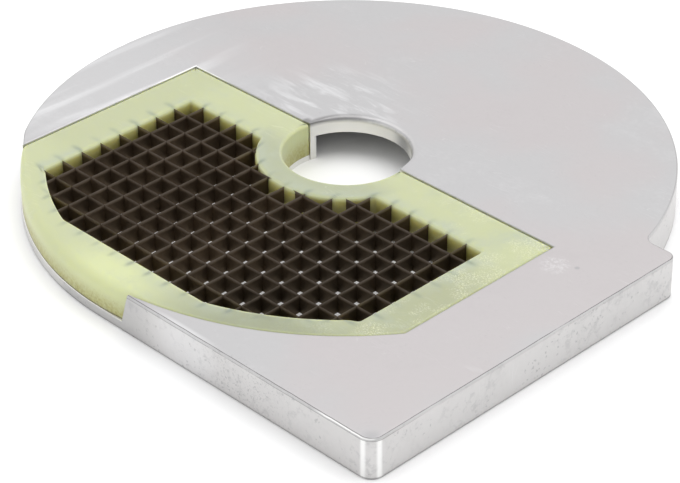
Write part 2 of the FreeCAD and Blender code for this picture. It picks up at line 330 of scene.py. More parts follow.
class Wiring:
    """Short calls that add and join the nodes of one tree."""

    def __init__(self, tree: Nodes) -> None:
        """Keeps the tree that the nodes go into."""
        self.tree = tree

    def add(self, kind: str, **settings: object) -> bpy.types.Node:
        """Adds a node and sets its properties.

        Args:
            kind: identifier of the node's class.
            settings: properties of the node.

        Returns:
            The new node.
        """
        node = self.tree.nodes.new(kind)
        for key, value in settings.items():
            setattr(node, key, value)
        return node

    def feed(self, target: bpy.types.NodeSocket, value: object) -> None:
        """Joins a socket to another one, or sets its own value.

        Args:
            target: input socket.
            value: output socket, number or colour.
        """
        if isinstance(value, bpy.types.NodeSocket):
            self.tree.links.new(value, target)
        else:
            target.default_value = value

    def math(self, operation: str, first: object, second: object = 0.0, clamp: bool = False) -> bpy.types.NodeSocket:
        """Adds a Math node.

        Args:
            operation: name of the sum.
            first: first number or socket.
            second: second number or socket.
            clamp: whether the result is held between 0 and 1.

        Returns:
            Its output.
        """
        node = self.add("ShaderNodeMath", operation=operation, use_clamp=clamp)
        self.feed(node.inputs[0], first)
        self.feed(node.inputs[1], second)
        return node.outputs[0]

    def ramp(self, value: object, low: float, high: float, start: float = 0.0, end: float = 1.0) -> bpy.types.NodeSocket:
        """Maps a number smoothly from one range onto another, held at its ends.

        Args:
            value: socket or number.
            low: value that becomes start.
            high: value that becomes end.
            start: result at low.
            end: result at high.

        Returns:
            Output of the Map Range node.
        """
        node = self.add("ShaderNodeMapRange", interpolation_type="SMOOTHSTEP")
        for socket, given in zip(node.inputs[:5], (value, low, high, start, end)):
            self.feed(socket, given)
        return node.outputs[0]

    def mix(self, share: object, first: object, second: object, blend: str = "MIX") -> bpy.types.NodeSocket:
        """Adds a colour Mix node.

        Args:
            share: how much of the second colour there is.
            first: first colour or socket.
            second: second colour or socket.
            blend: kind of blend.

        Returns:
            The mixed colour.
        """
        node = self.add("ShaderNodeMix", data_type="RGBA", blend_type=blend, clamp_factor=True)
        self.feed(node.inputs[0], share)
        self.feed(node.inputs[6], first)
        self.feed(node.inputs[7], second)
        return node.outputs[2]

    def noise(self, where: object, scale: object, detail: float, rough: float, twist: float = 0.0) -> bpy.types.NodeSocket:
        """Adds a Noise Texture node.

        Args:
            where: coordinates.
            scale: cells in a metre.
            detail: number of finer layers.
            rough: strength of the finer layers.
            twist: distortion.

        Returns:
            Its number, about a half.
        """
        node = self.add("ShaderNodeTexNoise")
        self.feed(node.inputs["Vector"], where)
        self.feed(node.inputs["Scale"], scale)
        node.inputs["Detail"].default_value = detail
        node.inputs["Roughness"].default_value = rough
        node.inputs["Distortion"].default_value = twist
        return node.outputs["Fac"]

    def cells(self, where: object, scale: object, feature: str = "F1") -> bpy.types.NodeSocket:
        """Adds a Voronoi Texture node and returns its distance."""
        node = self.add("ShaderNodeTexVoronoi", feature=feature)
        self.feed(node.inputs["Vector"], where)
        self.feed(node.inputs["Scale"], scale)
        return node.outputs["Distance"]

    def stretched(self, where: object, factors: tuple[float, float, float], turn: float = 0.0) -> bpy.types.NodeSocket:
        """Scales coordinates by axis after a turn about Z.

        Args:
            where: coordinates.
            factors: scale along each axis.
            turn: angle in degrees.

        Returns:
            The new coordinates.
        """
        node = self.add("ShaderNodeMapping")
        self.feed(node.inputs["Vector"], where)
        node.inputs["Rotation"].default_value = (0, 0, math.radians(turn))
        node.inputs["Scale"].default_value = factors
        return node.outputs[0]

    def place(self) -> bpy.types.NodeSocket:
        """Object coordinates, in metres of the row frame."""
        return self.add("ShaderNodeTexCoord").outputs["Object"]

    def height(self) -> bpy.types.NodeSocket:
        """Height above the resting plane, in metres."""
        node = self.add("ShaderNodeSeparateXYZ")
        self.feed(node.inputs[0], self.place())
        return node.outputs[2]

    def upward(self) -> bpy.types.NodeSocket:
        """Share by which the surface faces up: the Z of its true normal."""
        node = self.add("ShaderNodeSeparateXYZ")
        self.feed(node.inputs[0], self.add("ShaderNodeNewGeometry").outputs["True Normal"])
        return node.outputs[2]

    def mask(self, mask: Mask) -> bpy.types.NodeSocket:
        """Number that the surface carries at each vertex."""
        return self.add("ShaderNodeAttribute", attribute_name=mask.value).outputs["Fac"]

    def place_group(self, group: Nodes, **values: object) -> bpy.types.Node:
        """Places a shared group.

        Args:
            group: the group.
            values: number or socket for each input, with underscores for spaces.

        Returns:
            The group's node.
        """
        node = self.add("ShaderNodeGroup")
        node.node_tree = group
        for label, value in values.items():
            self.feed(node.inputs[label.replace("_", " ")], value)
        return node


class Effects:
    """Surface effects that more than one finish uses, each built once as a node group."""

    def __init__(self) -> None:
        """Builds all the groups."""
        self.edge_line = self.build_edge_line()
        self.mottling = self.build_mottling()
        self.scratches = self.build_scratches()
        self.flecks = self.build_flecks()

    @staticmethod
    def build_edge_line() -> Nodes:
        """Uneven line along an edge, from the distance that the surface carries.

        Returns:
            Group with inputs Distance, Middle and Width, in millimetres, and Unevenness, and output Mask.
        """
        inputs = {"Distance": 0.0, "Middle": 0.0, "Width": 0.3, "Unevenness": 0.5}
        group, taken, given = new_group("edge_line", inputs, {"Mask": "NodeSocketFloat"})
        wire = Wiring(group)
        drift = wire.math("SUBTRACT", wire.noise(wire.place(), 160.0, 3.0, 0.6), 0.5)
        shift = wire.math("MULTIPLY", wire.math("MULTIPLY", drift, taken.outputs["Width"]), 1.2)
        middle = wire.math("ADD", taken.outputs["Middle"], shift)
        off = wire.math("ABSOLUTE", wire.math("SUBTRACT", taken.outputs["Distance"], middle))
        line = wire.ramp(wire.math("DIVIDE", off, taken.outputs["Width"]), 1.0, 0.3)
        grain = wire.math("SUBTRACT", wire.noise(wire.place(), 90.0, 5.0, 0.7), 0.5)
        uneven = wire.math("MULTIPLY", wire.math("MULTIPLY", grain, 4.0), taken.outputs["Unevenness"])
        kept = wire.math("ADD", 1.0, uneven, clamp=True)
        wire.feed(given.inputs["Mask"], wire.math("MULTIPLY", line, kept, clamp=True))
        return group

    @staticmethod
    def build_mottling() -> Nodes:
        """Cloudy variation in three sizes, about zero.

        Returns:
            Group with inputs Coarse, Middle and Fine, each a number of clouds in a metre, and output Value.
        """
        inputs = {"Coarse": 14.0, "Middle": 60.0, "Fine": 420.0}
        group, taken, given = new_group("mottling", inputs, {"Value": "NodeSocketFloat"})
        wire = Wiring(group)
        total: object = 0.0
        for label, share in (("Coarse", 1.0), ("Middle", 0.7), ("Fine", 0.35)):
            cloud = wire.noise(wire.place(), taken.outputs[label], 4.0, 0.55, 0.4)
            total = wire.math("ADD", total, wire.math("MULTIPLY", wire.math("SUBTRACT", cloud, 0.5), share))
        wire.feed(given.inputs["Value"], total)
        return group

    @staticmethod
    def build_scratches() -> Nodes:
        """Short fine scratches in several directions.

        Returns:
            Group with inputs Density and Scale and output Mask.
        """
        group, taken, given = new_group("scratches", {"Density": 0.5, "Scale": 90.0}, {"Mask": "NodeSocketFloat"})
        wire = Wiring(group)
        total: object = 0.0
        for turn, stretch in ((24.0, 9.0), (71.0, 14.0), (128.0, 11.0), (163.0, 17.0)):
            where = wire.stretched(wire.place(), (1.0, stretch, 1.0), turn)
            line = wire.ramp(wire.cells(where, taken.outputs["Scale"], "DISTANCE_TO_EDGE"), 0.03, 0.0)
            patch = wire.noise(wire.stretched(wire.place(), (1.0, 1.0, 1.0), turn * 2), 55.0, 2.0, 0.5)
            shown = wire.ramp(patch, 0.62, 0.72)
            total = wire.math("MAXIMUM", total, wire.math("MULTIPLY", line, shown))
        wire.feed(given.inputs["Mask"], wire.math("MULTIPLY", total, taken.outputs["Density"], clamp=True))
        return group

    @staticmethod
    def build_flecks() -> Nodes:
        """Small scattered marks, such as pits, nicks and scuffed grains.

        Returns:
            Group with inputs Scale, Size and Cover and output Mask.
        """
        inputs = {"Scale": 500.0, "Size": 0.25, "Cover": 0.5}
        group, taken, given = new_group("flecks", inputs, {"Mask": "NodeSocketFloat"})
        wire = Wiring(group)
        wobble = wire.add("ShaderNodeTexNoise")
        wire.feed(wobble.inputs["Vector"], wire.place())
        wire.feed(wobble.inputs["Scale"], wire.math("MULTIPLY", taken.outputs["Scale"], 1.6))
        shift = wire.add("ShaderNodeVectorMath", operation="SCALE")
        wire.feed(shift.inputs[0], wobble.outputs["Color"])
        wire.feed(shift.inputs["Scale"], wire.math("DIVIDE", 1.1, taken.outputs["Scale"]))
        where = wire.add("ShaderNodeVectorMath", operation="ADD")
        wire.feed(where.inputs[0], wire.place())
        wire.feed(where.inputs[1], shift.outputs[0])
        distance = wire.cells(where.outputs[0], taken.outputs["Scale"])
        dot = wire.math("SUBTRACT", 1.0, wire.math("DIVIDE", distance, taken.outputs["Size"]), clamp=True)
        patch = wire.noise(wire.place(), wire.math("MULTIPLY", taken.outputs["Scale"], 0.13), 3.0, 0.6)
        gate = wire.math("SUBTRACT", 1.0, taken.outputs["Cover"])
        shown = wire.math("MULTIPLY", wire.math("SUBTRACT", patch, gate), 12.0, clamp=True)
        wire.feed(given.inputs["Mask"], wire.math("MULTIPLY", wire.ramp(dot, 0.0, 0.5), shown, clamp=True))
        return group


def axis_values(wire: Wiring) -> list[bpy.types.NodeSocket]:
    """X, Y and Z of the Object coordinates, in metres."""
    axes = wire.add("ShaderNodeSeparateXYZ")
    wire.feed(axes.inputs[0], wire.place())
    return list(axes.outputs)


def spot(wire: Wiring, middle: tuple[float, float], reach: float, softness: float) -> bpy.types.NodeSocket:
    """Soft round area of the plan.

    Args:
        wire: wiring of the material.
        middle: its middle in metres.
        reach: radius in metres at which it has faded out.
        softness: share of the radius over which it fades.

    Returns:
        1 inside and 0 beyond the radius.
    """
    x, y, _ = axis_values(wire)
    across = wire.math("POWER", wire.math("ABSOLUTE", wire.math("SUBTRACT", x, middle[0])), 2.0)
    along = wire.math("POWER", wire.math("ABSOLUTE", wire.math("SUBTRACT", y, middle[1])), 2.0)
    distance = wire.math("SQRT", wire.math("ADD", across, along))
    return wire.ramp(distance, reach, reach * (1 - softness))


def start_material(finish: Finish) -> tuple[bpy.types.Material, Wiring, bpy.types.Node]:
    """Starts a material with one Principled BSDF.

    Args:
        finish: slot that names it.

    Returns:
        The material, its wiring and its shader.
    """
    material = bpy.data.materials.new(finish.value)
    material.use_nodes = True
    wire = Wiring(material.node_tree)
    shader = next(node for node in material.node_tree.nodes if node.type == "BSDF_PRINCIPLED")
    return material, wire, shader


@dataclass(frozen=True)
class CastAluminium:
    """Tumbled cast aluminium: light, dull, cloudy, nicked, with fine lines of painted shade and painted highlights
    along its edges, and painted light and shade on its walls, in its bore and in its hollow.
    """

    body: tuple[float, float, float, float] = (0.503, 0.498, 0.504, 1.0)
    # Grey for stains, pits and marks, also used as painted shade on the edge rounding, along the pocket's edge, on the
    # front corner's top and in the bore.
    stain_and_shade: tuple[float, float, float, float] = (0.36, 0.36, 0.37, 1.0)
    bright: tuple[float, float, float, float] = (0.80, 0.80, 0.81, 1.0)
    # Lighter copy of the body colour for the walls: painted light that evens them with the top.
    wall: tuple[float, float, float, float] = (0.645, 0.635, 0.630, 1.0)
    # Dark tone for the inside of the hollow under the plate: painted shade.
    hollow_shade: tuple[float, float, float, float] = (0.24, 0.24, 0.25, 1.0)
    # Dark tone for nicks, and for painted shade at the bore's lip, in the fine lines along the edges and at the foot.
    dark: tuple[float, float, float, float] = (0.17, 0.165, 0.165, 1.0)
    roughness: float = 0.50
    foot_height: float = 0.0009
    warm: tuple[float, float, float, float] = (0.522, 0.484, 0.487, 1.0)
    # Light tone for painted light on the bore's wall, the floor at its foot and the ledge's top.
    lit_wall: tuple[float, float, float, float] = (0.84, 0.83, 0.81, 1.0)
    # Near white for painted highlights on the edges and corners.
    painted_highlight: tuple[float, float, float, float] = (0.95, 0.95, 0.94, 1.0)

    def build(self, effects: Effects) -> bpy.types.Material:
        """Makes the material.

        Args:
            effects: shared node groups.

        Returns:
            The material.
        """
        material, wire, shader = start_material(Finish.ALUMINIUM)
        clouds = wire.place_group(effects.mottling, Coarse=18.0, Middle=75.0, Fine=560.0).outputs["Value"]
        pits = wire.place_group(effects.flecks, Scale=620.0, Size=0.30, Cover=0.50).outputs["Mask"]
        nicks = wire.place_group(effects.flecks, Scale=420.0, Size=0.20, Cover=0.42).outputs["Mask"]
        lines = wire.place_group(effects.scratches, Density=1.0, Scale=60.0).outputs["Mask"]
        wall = wire.mask(Mask.ON_WALL)
        colour = self.streaked(wire, self.cloudy(wire, clouds, wall))
        colour = self.near_side_marks_and_light(wire, colour)
        colour = wire.mix(wire.math("MULTIPLY", lines, 0.12), colour, self.bright)
        side_pits = wire.math("MULTIPLY", pits, wire.math("ADD", 0.10, wire.math("MULTIPLY", wall, 0.45)))
        colour = wire.mix(side_pits, colour, self.stain_and_shade)
        side_nicks = wire.math("MULTIPLY", nicks, wire.math("ADD", 0.06, wire.math("MULTIPLY", wall, 0.34)))
        colour = wire.mix(side_nicks, colour, self.dark)
        colour = self.bore_tones(wire, self.edges(wire, effects, colour))
        wire.feed(shader.inputs["Base Color"], colour)
        shader.inputs["Metallic"].default_value = 1.0
        rough = wire.math("ADD", self.roughness, wire.math("MULTIPLY", clouds, 0.20))
        wire.feed(shader.inputs["Roughness"], wire.math("SUBTRACT", rough, wire.math("MULTIPLY", lines, 0.1)))
        self.add_relief(wire, shader, clouds, pits, nicks)
        return material

    def cloudy(self, wire: Wiring, clouds: bpy.types.NodeSocket, wall: bpy.types.NodeSocket) -> bpy.types.NodeSocket:
        """Body colour with its clouds and its blush, a lighter copy of it on the walls as painted light, and the
        stained and blotched walls.

        Args:
            wire: wiring of the material.
            clouds: cloudy variation about zero.
            wall: 1 on walls.

        Returns:
            The colour.
        """
        stained = wire.ramp(clouds, 0.02, 0.50)
        stains = wire.math("MULTIPLY", stained, wire.math("ADD", 0.14, wire.math("MULTIPLY", wall, 0.22)))
        # The walls take the lighter wall colour: painted light.
        colour = wire.mix(stains, wire.mix(wall, self.body, self.wall), self.stain_and_shade)
        lighter = wire.math("MULTIPLY", wire.ramp(clouds, -0.05, -0.5), 0.22)
        colour = wire.mix(lighter, colour, self.bright)
        blush = wire.ramp(wire.noise(wire.place(), 15.0, 3.0, 0.5), 0.46, 0.62, 0.0, 0.6)
        colour = wire.mix(wire.math("MULTIPLY", blush, wire.math("SUBTRACT", 1.0, wall)), colour, self.warm)
        blotches = wire.ramp(wire.noise(wire.place(), 330.0, 5.0, 0.7, 0.3), 0.50, 0.64)
        zones = wire.ramp(wire.noise(wire.place(), 28.0, 2.0, 0.5), 0.44, 0.58)
        blotched = wire.math("MULTIPLY", wire.math("MULTIPLY", blotches, zones), wall)
        return wire.mix(wire.math("MULTIPLY", blotched, 0.30), colour, self.stain_and_shade)

    def streaked(self, wire: Wiring, colour: bpy.types.NodeSocket) -> bpy.types.NodeSocket:
        """Adds the light streaks of the far left, the smears by the bore, a bright worn patch and a scored spot.

        Args:
            wire: wiring of the material.
            colour: colour so far.

        Returns:
            The colour.
        """
        bands = wire.noise(wire.stretched(wire.place(), (9.0, 1.0, 1.0), -6.0), 9.0, 3.0, 0.5, 0.3)
        streaks = wire.math("MULTIPLY", wire.ramp(bands, 0.47, 0.66), spot(wire, (-0.088, -0.028), 0.062, 0.7))
        colour = wire.mix(wire.math("MULTIPLY", streaks, 0.72), colour, self.bright)
        smear = wire.noise(wire.stretched(wire.place(), (1.0, 5.0, 1.0), 30.0), 45.0, 4.0, 0.6, 0.5)
        smears = wire.math("MULTIPLY", wire.ramp(smear, 0.48, 0.70), spot(wire, (-0.024, 0.016), 0.034, 0.7))
        colour = wire.mix(wire.math("MULTIPLY", smears, 0.50), colour, self.bright)
        grains = wire.ramp(wire.noise(wire.place(), 900.0, 4.0, 0.7), 0.42, 0.68)
        rubbed_and_sheen = wire.math("MULTIPLY", grains, spot(wire, (0.0931, -0.0041), 0.0062, 0.6))
        colour = wire.mix(wire.math("MULTIPLY", rubbed_and_sheen, 0.34), colour, self.bright)
        scored = spot(wire, (0.0989, -0.0007), 0.0011, 0.6)
        colour = wire.mix(wire.math("MULTIPLY", scored, 0.6), colour, self.stain_and_shade)
        return wire.mix(wire.math("MULTIPLY", spot(wire, (-0.088, -0.03), 0.07, 0.9), 0.15), colour, self.bright)

    def bore_tones(self, wire: Wiring, colour: bpy.types.NodeSocket) -> bpy.types.NodeSocket:
        """Paints light and shade into the bore: painted light on the floor at its foot, painted shade on the soft lip
        at its far left, and painted light on its wall with one stretch of painted shade.

        Args:
            wire: wiring of the material.
            colour: colour so far.

        Returns:
            The colour.
        """
        x, _, z = axis_values(wire)
        inner = wire.mask(Mask.INNER_EDGE)
        within = spot(wire, (0.0, 0.0), 0.0252, 0.06)
        # Painted light on the floor strip at the foot of the bore.
        below = wire.math("MULTIPLY", wire.ramp(z, 0.0023, 0.0019), spot(wire, (0.0, 0.0), 0.0225, 0.03))
        colour = wire.mix(below, colour, self.lit_wall)
        # Painted shade on the soft lip at the bore's far left.
        lip = wire.math("MULTIPLY", wire.ramp(inner, 3.4, 1.0), wire.ramp(inner, -1.4, -0.5))
        lip = wire.math("MULTIPLY", lip, wire.ramp(x, -0.004, -0.017, 0.02, 0.66))
        colour = wire.mix(wire.math("MULTIPLY", lip, within), colour, self.dark)
        # Painted light on the bore's wall.
        wall = wire.math("MULTIPLY", wire.ramp(inner, -1.2, -2.0), within)
        colour = wire.mix(wire.math("MULTIPLY", wall, wire.ramp(inner, -20.0, -15.0)), colour, self.lit_wall)
        # One stretch of the bore's wall held darker: painted shade.
        off = wire.math("ABSOLUTE", wire.math("SUBTRACT", x, 0.0064))
        dim = wire.math("MULTIPLY", wall, wire.ramp(off, 0.0068, 0.0005, 0.0, 0.78))
        return wire.mix(wire.math("MULTIPLY", dim, wire.ramp(inner, -20.0, -15.0)), colour, self.stain_and_shade)

    def near_side_marks_and_light(self, wire: Wiring, colour: bpy.types.NodeSocket) -> bpy.types.NodeSocket:
        """Tones the block's near side and front corner: darker at the tip, lighter beyond it, dotted, with painted
        highlights down the corner's rounding and painted shade on the corner's top.

        Args:
            wire: wiring of the material.
            colour: colour so far.

        Returns:
            The colour.
        """
        x, y, z = axis_values(wire)
        side = wire.ramp(y, -0.1035, -0.1050)
        tip = wire.math("MULTIPLY", wire.ramp(x, 0.032, 0.013), side)
        colour = wire.mix(wire.math("MULTIPLY", tip, 0.42), colour, self.stain_and_shade)
        light = wire.math("MULTIPLY", spot(wire, (0.039, -0.106), 0.018, 0.9), side)
        colour = wire.mix(wire.math("MULTIPLY", light, 0.40), colour, self.bright)
        dots = wire.ramp(wire.noise(wire.place(), 1300.0, 3.0, 0.6), 0.56, 0.66)
        dotted = wire.math("MULTIPLY", wire.math("MULTIPLY", dots, spot(wire, (0.066, -0.106), 0.026, 0.8)), side)
        colour = wire.mix(wire.math("MULTIPLY", dotted, 0.45), colour, self.stain_and_shade)
        # Two narrow painted highlights down the rounding of the front corner.
        for middle in ((0.1126, -0.1058), (0.1160, -0.1026)):
            corner_highlight = wire.math("MULTIPLY", spot(wire, middle, 0.0013, 0.8), wire.ramp(z, 0.0136, 0.0128))
            colour = wire.mix(wire.math("MULTIPLY", corner_highlight, 0.75), colour, self.painted_highlight)
        # Painted shade on the top of the front corner.
        corner_top_shade = wire.math("MULTIPLY", spot(wire, (0.1142, -0.1040), 0.0042, 0.9), wire.ramp(z, 0.0128, 0.0136))
        return wire.mix(wire.math("MULTIPLY", corner_top_shade, 0.45), colour, self.stain_and_shade)

    def edges(self, wire: Wiring, effects: Effects, colour: bpy.types.NodeSocket) -> bpy.types.NodeSocket:
        """Adds the edges' painted light and shade: worn edges with a painted highlight, fine lines of painted shade
        beside them, painted shade along the pocket's edge, a painted highlight at its left corner, painted light on the
        ledge's top, and painted shade in the hollow and at the foot.

        Args:
            wire: wiring of the material.
            effects: shared node groups.
            colour: colour so far.

        Returns:
            The colour with its edges.
        """
        outer = wire.mask(Mask.OUTER_EDGE)
        inner = wire.mask(Mask.INNER_EDGE)
        line = effects.edge_line
        x, y, _ = axis_values(wire)
        # Painted shade on the rounding of the outer top edge.
        strip = wire.math("MULTIPLY", wire.ramp(outer, 0.55, 0.25), wire.ramp(outer, -0.95, -0.6))
        colour = wire.mix(wire.math("MULTIPLY", strip, 0.30), colour, self.stain_and_shade)
        # Bright edge: wear with a painted highlight, strongest near the front corner.
        rubbed_and_sheen = wire.place_group(line, Distance=outer, Middle=-0.20, Width=0.45, Unevenness=0.5).outputs["Mask"]
        near_corner = wire.math("MULTIPLY", wire.ramp(x, 0.092, 0.099), wire.ramp(y, -0.1030, -0.1045))
        rubbed_and_sheen = wire.math("MULTIPLY", rubbed_and_sheen, wire.math("ADD", 0.08, wire.math("MULTIPLY", near_corner, 0.9)))
        colour = wire.mix(rubbed_and_sheen, colour, self.painted_highlight)
        # Fine dark line on the top beside the edge: painted shade.
        above = wire.place_group(line, Distance=outer, Middle=0.30, Width=0.24, Unevenness=0.7).outputs["Mask"]
        block = wire.math("MAXIMUM", wire.ramp(x, 0.1145, 0.1155), wire.ramp(y, -0.1020, -0.1045))
        shown = wire.math("ADD", 0.22, wire.math("MULTIPLY", block, 0.73))
        colour = wire.mix(wire.math("MULTIPLY", above, shown), colour, self.dark)
        # Fine dark line below the rounding, stronger on the near side: painted shade.
        below = wire.place_group(line, Distance=outer, Middle=-0.95, Width=0.20, Unevenness=1.6).outputs["Mask"]
        below = wire.math("MULTIPLY", below, wire.ramp(y, -0.080, -0.100, 0.15, 0.60))
        colour = wire.mix(below, colour, self.dark)
        # Painted shade along the pocket's edge.
        pocket = wire.place_group(line, Distance=inner, Middle=0.0, Width=0.7, Unevenness=0.5).outputs["Mask"]
        colour = wire.mix(wire.math("MULTIPLY", pocket, 0.55), colour, self.stain_and_shade)
        # Painted highlight along the pocket's edge at its left corner.
        thin = wire.place_group(line, Distance=inner, Middle=-0.1, Width=0.40, Unevenness=0.7).outputs["Mask"]
        corner = wire.math("MULTIPLY", thin, spot(wire, (-0.0769, 0.0010), 0.020, 0.6))
        colour = wire.mix(corner, colour, self.painted_highlight)
        # Painted light on the ledge's top.
        ledge = wire.math("MULTIPLY", wire.ramp(wire.height(), 0.0040, 0.0036), wire.ramp(wire.upward(), 0.4, 0.9))
        colour = wire.mix(wire.math("MULTIPLY", ledge, 0.85), colour, self.lit_wall)
        within = wire.math("SUBTRACT", 1.0, spot(wire, (0.0, 0.0), 0.0234, 0.03))
        # Painted shade on the underside and the inner walls of the hollow, kept out of the bore.
        hollow = wire.math("MULTIPLY", wire.ramp(inner, -16.0, -24.0), wire.ramp(outer, -16.0, -24.0))
        colour = wire.mix(wire.math("MULTIPLY", hollow, within), colour, self.hollow_shade)
        # Painted shade at the foot, where the casting meets the floor.
        foot = wire.ramp(wire.height(), self.foot_height, self.foot_height * 0.4)
        return wire.mix(wire.math("MULTIPLY", wire.math("MULTIPLY", foot, within), 0.50), colour, self.dark)

    @staticmethod
    def add_relief(wire: Wiring, shader: bpy.types.Node, *marks: bpy.types.NodeSocket) -> None:
        """Adds the casting's surface as bump: clouds, pits and nicks.

        Args:
            wire: wiring of the material.
            shader: its Principled BSDF.
            marks: clouds, pits and nicks.
        """
        clouds, pits, nicks = marks
        grain = wire.noise(wire.place(), 2400.0, 3.0, 0.6)
        height = wire.math("ADD", wire.math("MULTIPLY", clouds, 0.7), wire.math("MULTIPLY", grain, 0.16))
        height = wire.math("SUBTRACT", height, wire.math("MULTIPLY", pits, 0.30))
        height = wire.math("SUBTRACT", height, wire.math("MULTIPLY", nicks, 0.6))
        bump = wire.add("ShaderNodeBump")
        bump.inputs["Strength"].default_value = 0.35
        bump.inputs["Distance"].default_value = 0.00012
        wire.feed(bump.inputs["Height"], height)
        wire.feed(shader.inputs["Normal"], bump.outputs[0])


@dataclass(frozen=True)
class FramePlastic:
    """Moulded translucent plastic: pale yellow green, with a painted glow at the top of its walls and painted shade
    lower down them, duller and scuffed to the right.
    """

    body: tuple[float, float, float, float] = (0.490, 0.522, 0.315, 1.0)
    dull: tuple[float, float, float, float] = (0.38, 0.40, 0.255, 1.0)
    dim: tuple[float, float, float, float] = (0.300, 0.322, 0.215, 1.0)
    boss: tuple[float, float, float, float] = (0.385, 0.412, 0.280, 1.0)
    # Paler tone for the near arc, also used as a painted glow on the outer wall and along the opening's edge.
    light: tuple[float, float, float, float] = (0.60, 0.64, 0.36, 1.0)
    # Dark olive for painted shade low on the walls.
    deep_shade: tuple[float, float, float, float] = (0.34, 0.31, 0.09, 1.0)
    # Near black for painted shade in the gap above the ledge.
    joint: tuple[float, float, float, float] = (0.09, 0.08, 0.035, 1.0)
    cool: tuple[float, float, float, float] = (0.41, 0.455, 0.37, 1.0)
    scuff: tuple[float, float, float, float] = (0.68, 0.70, 0.51, 1.0)
    # Saturated yellow for a painted glow at the top of the opening's walls.
    glow: tuple[float, float, float, float] = (0.57, 0.535, 0.18, 1.0)
    speck: tuple[float, float, float, float] = (0.26, 0.21, 0.07, 1.0)
    shade: tuple[float, float, float, float] = (0.16, 0.20, 0.18, 1.0)
    light_path: tuple[float, float, float] = (1.0, 0.9, 0.35)
    top: float = 0.01375
    foot: float = 0.0035

    def build(self, effects: Effects) -> bpy.types.Material:
        """Makes the material.

        Args:
            effects: shared node groups.

        Returns:
            The material.
        """
        material, wire, shader = start_material(Finish.PLASTIC)
        clouds = wire.place_group(effects.mottling, Coarse=22.0, Middle=90.0, Fine=500.0).outputs["Value"]
        colour = self.in_walls(wire, self.tones(wire, clouds))
        colour, scuffed = self.marked(wire, effects, colour)
        wire.feed(shader.inputs["Base Color"], colour)
        shader.inputs["Subsurface Weight"].default_value = 0.8
        shader.inputs["Subsurface Radius"].default_value = self.light_path
        shader.inputs["Subsurface Scale"].default_value = 0.003
        shader.inputs["IOR"].default_value = 1.47
        rough = wire.math("ADD", 0.40, wire.math("MULTIPLY", scuffed, 0.3))
        wire.feed(shader.inputs["Roughness"], rough)
        height = wire.math("ADD", wire.math("MULTIPLY", clouds, 0.6), wire.math("MULTIPLY", scuffed, -0.35))
        bump = wire.add("ShaderNodeBump")
        bump.inputs["Strength"].default_value = 0.4
        bump.inputs["Distance"].default_value = 0.00012
        wire.feed(bump.inputs["Height"], height)
        wire.feed(shader.inputs["Normal"], bump.outputs[0])
        return material

    def tones(self, wire: Wiring, clouds: bpy.types.NodeSocket) -> bpy.types.NodeSocket:
        """Colour of the top: duller on the right strip, the near arc and the boss, cooler near the opening.

        Args:
            wire: wiring of the material.
            clouds: cloudy variation about zero.

        Returns:
            The colour.
        """
        x, y, _ = axis_values(wire)
        strip = wire.math("MULTIPLY", wire.ramp(x, 0.055, 0.078), wire.ramp(y, -0.010, -0.035))
        colour = wire.mix(strip, self.body, self.dull)
        near = wire.math("MULTIPLY", wire.ramp(x, 0.010, 0.045), wire.ramp(y, -0.066, -0.084))
        colour = wire.mix(near, colour, self.dim)
        boss = wire.math("MULTIPLY", spot(wire, (0.0, 0.0), 0.0320, 0.10), wire.ramp(y, -0.002, -0.016))
        colour = wire.mix(boss, colour, self.boss)
        left = wire.math("MULTIPLY", wire.ramp(x, -0.055, -0.068), wire.ramp(y, -0.070, -0.058))
        colour = wire.mix(wire.math("MULTIPLY", left, 0.30), colour, self.dull)
        colour = wire.mix(wire.math("MULTIPLY", spot(wire, (0.0, -0.099), 0.026, 0.9), 0.85), colour, self.light)
        inner = wire.mask(Mask.INNER_EDGE)
        near_blades = wire.math("MULTIPLY", wire.ramp(inner, 8.0, 1.5), wire.ramp(inner, -0.6, 0.4))
        cloudy = wire.ramp(wire.noise(wire.place(), 55.0, 4.0, 0.6), 0.36, 0.64)
        hazy = wire.math("MULTIPLY", wire.math("MULTIPLY", near_blades, cloudy), 0.5)
        patchy = wire.math("MULTIPLY", wire.ramp(clouds, 0.0, 0.5), 0.7)
        return wire.mix(wire.math("ADD", hazy, patchy, clamp=True), colour, self.cool)

    def in_walls(self, wire: Wiring, colour: bpy.types.NodeSocket) -> bpy.types.NodeSocket:
        """Paints light and shade into the outer wall, the bore's wall and the walls of the opening: a painted glow near
        their tops, painted shade lower down, and painted shade in the gap at the ledge.

        Args:
            wire: wiring of the material.
            colour: colour so far.

        Returns:
            The colour.
        """
        _, _, z = axis_values(wire)
        inner = wire.mask(Mask.INNER_EDGE)
        outer_wall = wire.math("MULTIPLY", wire.mask(Mask.ON_WALL), wire.ramp(inner, 12.0, 20.0))
        granular = wire.ramp(wire.noise(wire.place(), 900.0, 3.0, 0.6), 0.35, 0.65, 0.65, 1.1)
        # Painted glow on the outer wall and the bore's wall.
        colour = wire.mix(wire.math("MULTIPLY", outer_wall, 0.55), colour, self.light)
        # Darker towards the bottom: painted shade, with a grain of the plastic.
        depth = wire.math("MULTIPLY", wire.ramp(z, self.top - 0.003, self.foot), outer_wall)
        colour = wire.mix(wire.math("MULTIPLY", wire.math("MULTIPLY", depth, granular), 0.82), colour, self.deep_shade)
        # Painted shade in the gap where the wall meets the ledge.
        joint = wire.math("MULTIPLY", wire.ramp(z, 0.0040, 0.0034), outer_wall)
        joint = wire.math("MULTIPLY", joint, wire.math("SUBTRACT", 1.0, spot(wire, (0.0, 0.0), 0.0240, 0.05)))
        colour = wire.mix(wire.math("MULTIPLY", joint, 0.8), colour, self.joint)
